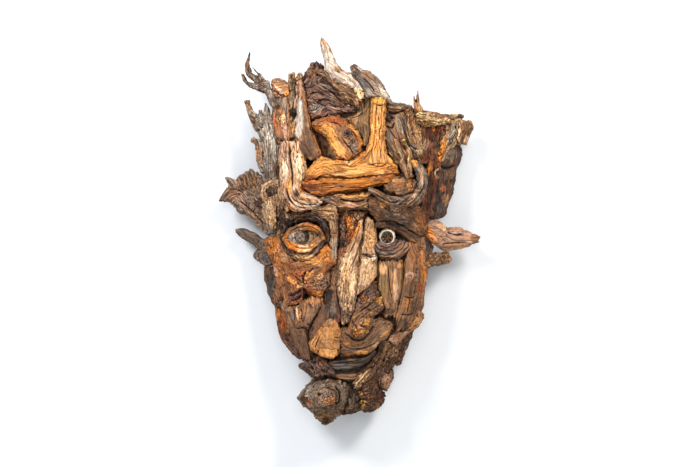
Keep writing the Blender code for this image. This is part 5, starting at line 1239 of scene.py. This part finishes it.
def jaws_and_chin():
    dress("jaw_left_knob", BURL, ("soot", "mauve", "taupe"),
          lines=[((-48, -135), (-41, -136), (-32, -137), (-24, -138), (-17, -142))],
          grabs=[(-50, -136, 5, -2, 0)],
          bumps=[(-43, -136, 4.5, 2.4), (-33, -142, 4, 2.2), (-26, -135, 4.5, 2.2), (-36, -131, 3, -2),
                 (-19, -140, 3.5, 1.6), (-37, -138, 1.8, -1.6)], crumbs=[(-34, -136, 12, 0.5)],
          patches=[(-26, -131, 6, 4, "umber"), (-42, -134, 5, 4, "mauve"), (-30, -134, 2, 2, "rust")])
    dress("chin_burl", BURL, ("walnut", "stone", "rose"), lump_size=7.0, lump_height=1.8,
          scale_height=0.15, ridge_height=0.6, stretch=9.0, patch_noise=0.25, line_height=0.14,
          lines=[((0, -150), (-4, -160), (-5, -172), (-14, -181), (-24, -188)),
                 ((-24, -150), (-36, -156), (-46, -166), (-44, -176))], knots=[(-24, -166, 11)],
          cracks=[(0.8, 2.2, *circle(-23, -166, 9.5, -120, 150)),
                  (1.2, 2.4, (-15, -152), (-10, -162), (-11, -172), (-18, -179)),
                  (1.2, 2.2, (-34, -154), (-36, -164), (-36, -174), (-28, -180)),
                  (0.8, 1.4, (2, -158), (-2, -170), (-10, -180))],
          ridges=[(1.4, 1.4, (-4, -151), (1, -162), (-2, -173), (-12, -183), (-24, -188)),
                  (1.2, 1, (-9, -153), (-6, -164), (-9, -175), (-18, -182))],
          bumps=[(-27, -158, 5, 1.2), (-20, -168, 6, 1), (-40, -162, 6, 1.4), (-31, -163, 2.4, -1.6)],
          crumbs=[(-22, -168, 8, 0.3), (-40, -164, 8, 0.3)],
          patches=[(-40, -161, 5, 7, 20, "grey"), (-28, -157, 4, 3, "stone"),
                   (-20, -170, 6, 5, 20, "tawny"), (-41, -171, 2.4, 1.6, "rust"),
                   (-5, -163, 4, 12, "stone"), (-24, -186, 9, 6, "tan"), (-16, -150, 7, 2, "brown"),
                   (-24, -192, 5, 3, "umber"), (-46, -170, 4, 4, "umber")])
    dress("chin_knob_right", BURL, ("soot", "walnut", "mauve"), scale_size=3.0, scale_height=1.1,
          patch_noise=0.12,
          lines=[((22, -139), (20, -156), (21, -164), (22, -172), (19, -182)),
                 ((6, -160), (4, -179), (-3, -183))],
          bumps=[(10.5, -162.5, 2, 1), (13, -172, 2.6, 1), (12.5, -177.5, 1.8, 0.9), (30, -168, 4, 1.2),
                 (24, -160, 4, 1.2), (20, -150, 4, 1), (10.5, -162.5, 0.9, -1.6),
                 (13, -172, 1.2, -1.6)], crumbs=[(22, -166, 13, 1.3)],
          patches=[(10.5, -162.5, 2.3, 2.3, "gold"), (13, -172, 3, 3, "gold"),
                   (12.5, -177.5, 2, 2, "honey"), (27.5, -176, 2, 3, "tawny"),
                   (3, -172, 6, 9, -10, "taupe"), (30, -166, 5, 4, "maroon"),
                   (10.5, -162.5, 1, 1, "soot"), (13, -172, 1.4, 1.4, "soot"),
                   (17, -166, 3, 3, "russet")])
    dress("jaw_right_board", BOARD, ("soot", "walnut", "tan"), crack_share=0.6, ridge_height=0.6,
          lines=[((59, -100), (54, -110), (50, -120), (48, -128), (48, -136)),
                 ((40, -109), (40, -122), (40, -130), (35, -138), (34, -146), (34, -162))],
          cracks=[(0.9, 1.6, (33, -140), (38, -144), (43, -141))],
          patches=[(40, -120, 6, 10, "tan"), (37, -152, 6, 9, 20, "rose"), (30, -142, 5, 4, "mauve"),
                   (54, -112, 5, 12, -20, "umber")])
    dress("jaw_left_plate", SMOOTH, ("umber", "walnut", "brown"), light=0.87, crack_share=0.3,
          lines=[((-66, -70), (-60, -84), (-52, -97), (-49, -108), (-46, -118), (-43, -131))],
          cracks=[(2, 2.4, (-45, -98), (-42, -106), (-41, -115))],
          patches=[(-58, -88, 4, 12, -25, "brown"), (-50, -108, 6, 10, -15, "walnut"),
                   (-64, -75, 4, 6, "tan"), (-44, -124, 4, 6, "walnut")])
    dress("mouth_plates_dark", WORN, ("soot", "umber", "brown"), growth=1.3, crack_share=0.4,
          lines=[((-24, -74), (-27, -86), (-31, -96), (-34, -104), (-34, -112)),
                 ((-20, -56), (-19, -69), (-16, -77), (-15, -86), (-14, -92))],
          patches=[(-31, -92, 6, 14, -20, "walnut"), (-17, -78, 4, 7, "taupe"),
                   (-20, -64, 6, 5, "char"), (-12, -86, 1.6, 6, "russet"), (-22, -72, 3, 8, "soot")])
    dress("jaw_left_strips", ROOT, ("maroon", "walnut", "brown"), ridge_height=0.6,
          lines=[((-79, -37), (-77, -50), (-74, -62), (-71, -71), (-69, -78), (-68, -85), (-62, -104),
                  (-58, -113), (-52, -122), (-46, -128))], cracks=[(1, 1.6, (-80, -78), (-70, -78))],
          patches=[(-80, -56, 4, 16, -10, "slate"), (-67, -94, 4, 14, -15, "rust"),
                   (-72, -84, 2, 6, "amber"), (-56, -118, 8, 5, 40, "mauve"),
                   (-72, -60, 4, 14, -10, "brown")])


# The logs show only in the gaps between the front pieces, and their tones are kept dark so that those
# gaps read as shade: painted shade.
def back_logs():
    dress("back_log_middle", LOG, ("walnut", "brown", "tan"), voxel=COARSE,
          lines=[((-2, 121), (-5, 60), (0, 0), (-6, -62), (-12, -170))])
    dress("back_log_left", LOG, ("walnut", "brown", "tan"), voxel=COARSE,
          lines=[((-47, 118), (-48, 62), (-44, 0), (-42, -62), (-30, -134))])
    dress("back_log_right", LOG, ("walnut", "brown", "tan"), voxel=COARSE,
          lines=[((55, 109), (56, 60), (43, 0), (38, -62), (20, -140))])


MATTE_ROUGHNESS, MATTE_GLOSS = 0.9, 0.1
MOTTLE_SCALE, MOTTLE_TONE = 40.0, 0.98
FACTOR, FIRST_COLOUR, SECOND_COLOUR, MIXED_COLOUR = 0, 6, 7, 2    # sockets of a colour mix


def stand_in_matte(name, tone):
    """A matte painted surface with a faint mottle, for the wall and the floor."""
    material = bpy.data.materials.new(name)
    material.use_nodes = True
    nodes, links = material.node_tree.nodes, material.node_tree.links
    shader = nodes["Principled BSDF"]
    shader.inputs["Roughness"].default_value = MATTE_ROUGHNESS
    shader.inputs["Specular IOR Level"].default_value = MATTE_GLOSS
    place = nodes.new("ShaderNodeTexCoord")
    mottle = nodes.new("ShaderNodeTexNoise")
    mottle.inputs["Scale"].default_value = MOTTLE_SCALE
    blend = nodes.new("ShaderNodeMix")
    blend.data_type = "RGBA"
    blend.inputs[FIRST_COLOUR].default_value = (*tone, 1.0)
    blend.inputs[SECOND_COLOUR].default_value = (*(value * MOTTLE_TONE for value in tone), 1.0)
    links.new(place.outputs["Object"], mottle.inputs["Vector"])
    links.new(mottle.outputs["Fac"], blend.inputs[FACTOR])
    links.new(blend.outputs[MIXED_COLOUR], shader.inputs["Base Color"])
    return material


WALL_GAP = 0.0005              # between the wall and the backs of the logs, in metres
WALL_SIZE = 6.0
FLOOR_DROP = 1.3               # the floor's depth under the middle of the face
WALL_TONE = (0.69, 0.71, 0.735)
FLOOR_TONE = (0.80, 0.79, 0.77)


def studio():
    bpy.ops.object.select_all(action="DESELECT")
    for name, place, turn, tone in (
            ("wall", (0, WALL_GAP, 0), (math.pi / 2, 0, 0), WALL_TONE),
            ("floor", (0, WALL_GAP - WALL_SIZE / 2, -FLOOR_DROP), (0, 0, 0), FLOOR_TONE)):
        bpy.ops.mesh.primitive_plane_add(size=WALL_SIZE, location=place, rotation=turn)
        bpy.ops.object.transform_apply(location=True, rotation=True, scale=True)
        plane = bpy.context.active_object
        plane.name = name
        plane.data.materials.append(stand_in_matte(name + "_paint", tone))
        plane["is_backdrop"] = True


# Soft boxes: place in metres, size, power in watts and colour.
SOFT_BOXES = (
    ("softbox_right", (1.3, -1.8, 1.9), 0.8, 78.0, (1.0, 0.97, 0.93)),
    ("softbox_left", (-1.5, -1.7, 1.6), 0.9, 74.0, (0.98, 0.98, 1.0)),
    ("softbox_front", (0.0, -3.2, 0.6), 1.4, 22.0, (1.0, 1.0, 1.0)),
)
LIT_POINT = (0.0, -0.05, 0.0)
SKY = (0.90, 0.95, 1.0)
SKY_STRENGTH = 0.42


def lights():
    for name, place, size, power, colour in SOFT_BOXES:
        aim = np.array(LIT_POINT) - np.array(place)
        bpy.ops.object.light_add(type="AREA", location=place)
        box = bpy.context.active_object
        box.name = name
        box.rotation_euler = (math.atan2(math.hypot(aim[0], aim[1]), -aim[2]), 0.0,
                              math.atan2(-aim[0], aim[1]))
        box.data.size = size
        box.data.energy = power
        box.data.color = colour
    world = bpy.data.worlds.new("studio air")
    world.use_nodes = True
    sky = world.node_tree.nodes["Background"]
    sky.inputs["Color"].default_value = (*SKY, 1.0)
    sky.inputs["Strength"].default_value = SKY_STRENGTH
    bpy.context.scene.world = world


VIEW_DISTANCE = 5.0            # from the camera to the middle depth of the face, in metres
VIEW_DEPTH = 45.0              # that depth, in drawing units
VIEW_HEIGHT = -3.5
PHOTO_WIDTH = 700.0            # as many drawing units across as the photograph has pixels
SENSOR = 36.0


def camera():
    bpy.ops.object.camera_add(location=(0, -VIEW_DEPTH * UNIT - VIEW_DISTANCE, VIEW_HEIGHT * UNIT),
                              rotation=(math.pi / 2, 0, 0))
    eye = bpy.context.active_object
    eye.name = "camera"
    eye.data.sensor_width = SENSOR
    eye.data.lens = SENSOR * VIEW_DISTANCE / (PHOTO_WIDTH * UNIT)
    bpy.context.scene.camera = eye


# Each finish: strength of its fibres and of its hair cracks, its roughness, the height of its
# fibres in metres, and its gloss.
FINISHES = {
    "dry_board": (0.36, 0.55, 0.80, 0.0007, 0.22),
    "close_grained": (0.42, 1.0, 0.84, 0.0008, 0.20),
    "gnarled_root": (0.36, 0.65, 0.82, 0.0008, 0.20),
    "golden_heartwood": (0.30, 0.42, 0.74, 0.0006, 0.22),
    "rough_bark": (0.40, 0.60, 0.88, 0.0009, 0.20),
    "worn_smooth": (0.28, 0.22, 0.74, 0.0005, 0.25),
}
fibre_layer = weathered_wood()
finishes = {name: wood_finish(fibre_layer, name, *values) for name, values in FINISHES.items()}
nose()
left_eye()
right_eye()
forehead()
left_temple()
crown_middle()
crown_left()
crown_right()
ears()
cheeks()
mouth()
jaws_and_chin()
back_logs()
studio()
lights()
camera()
bpy.context.scene.view_settings.view_transform = "Standard"

low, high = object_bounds()
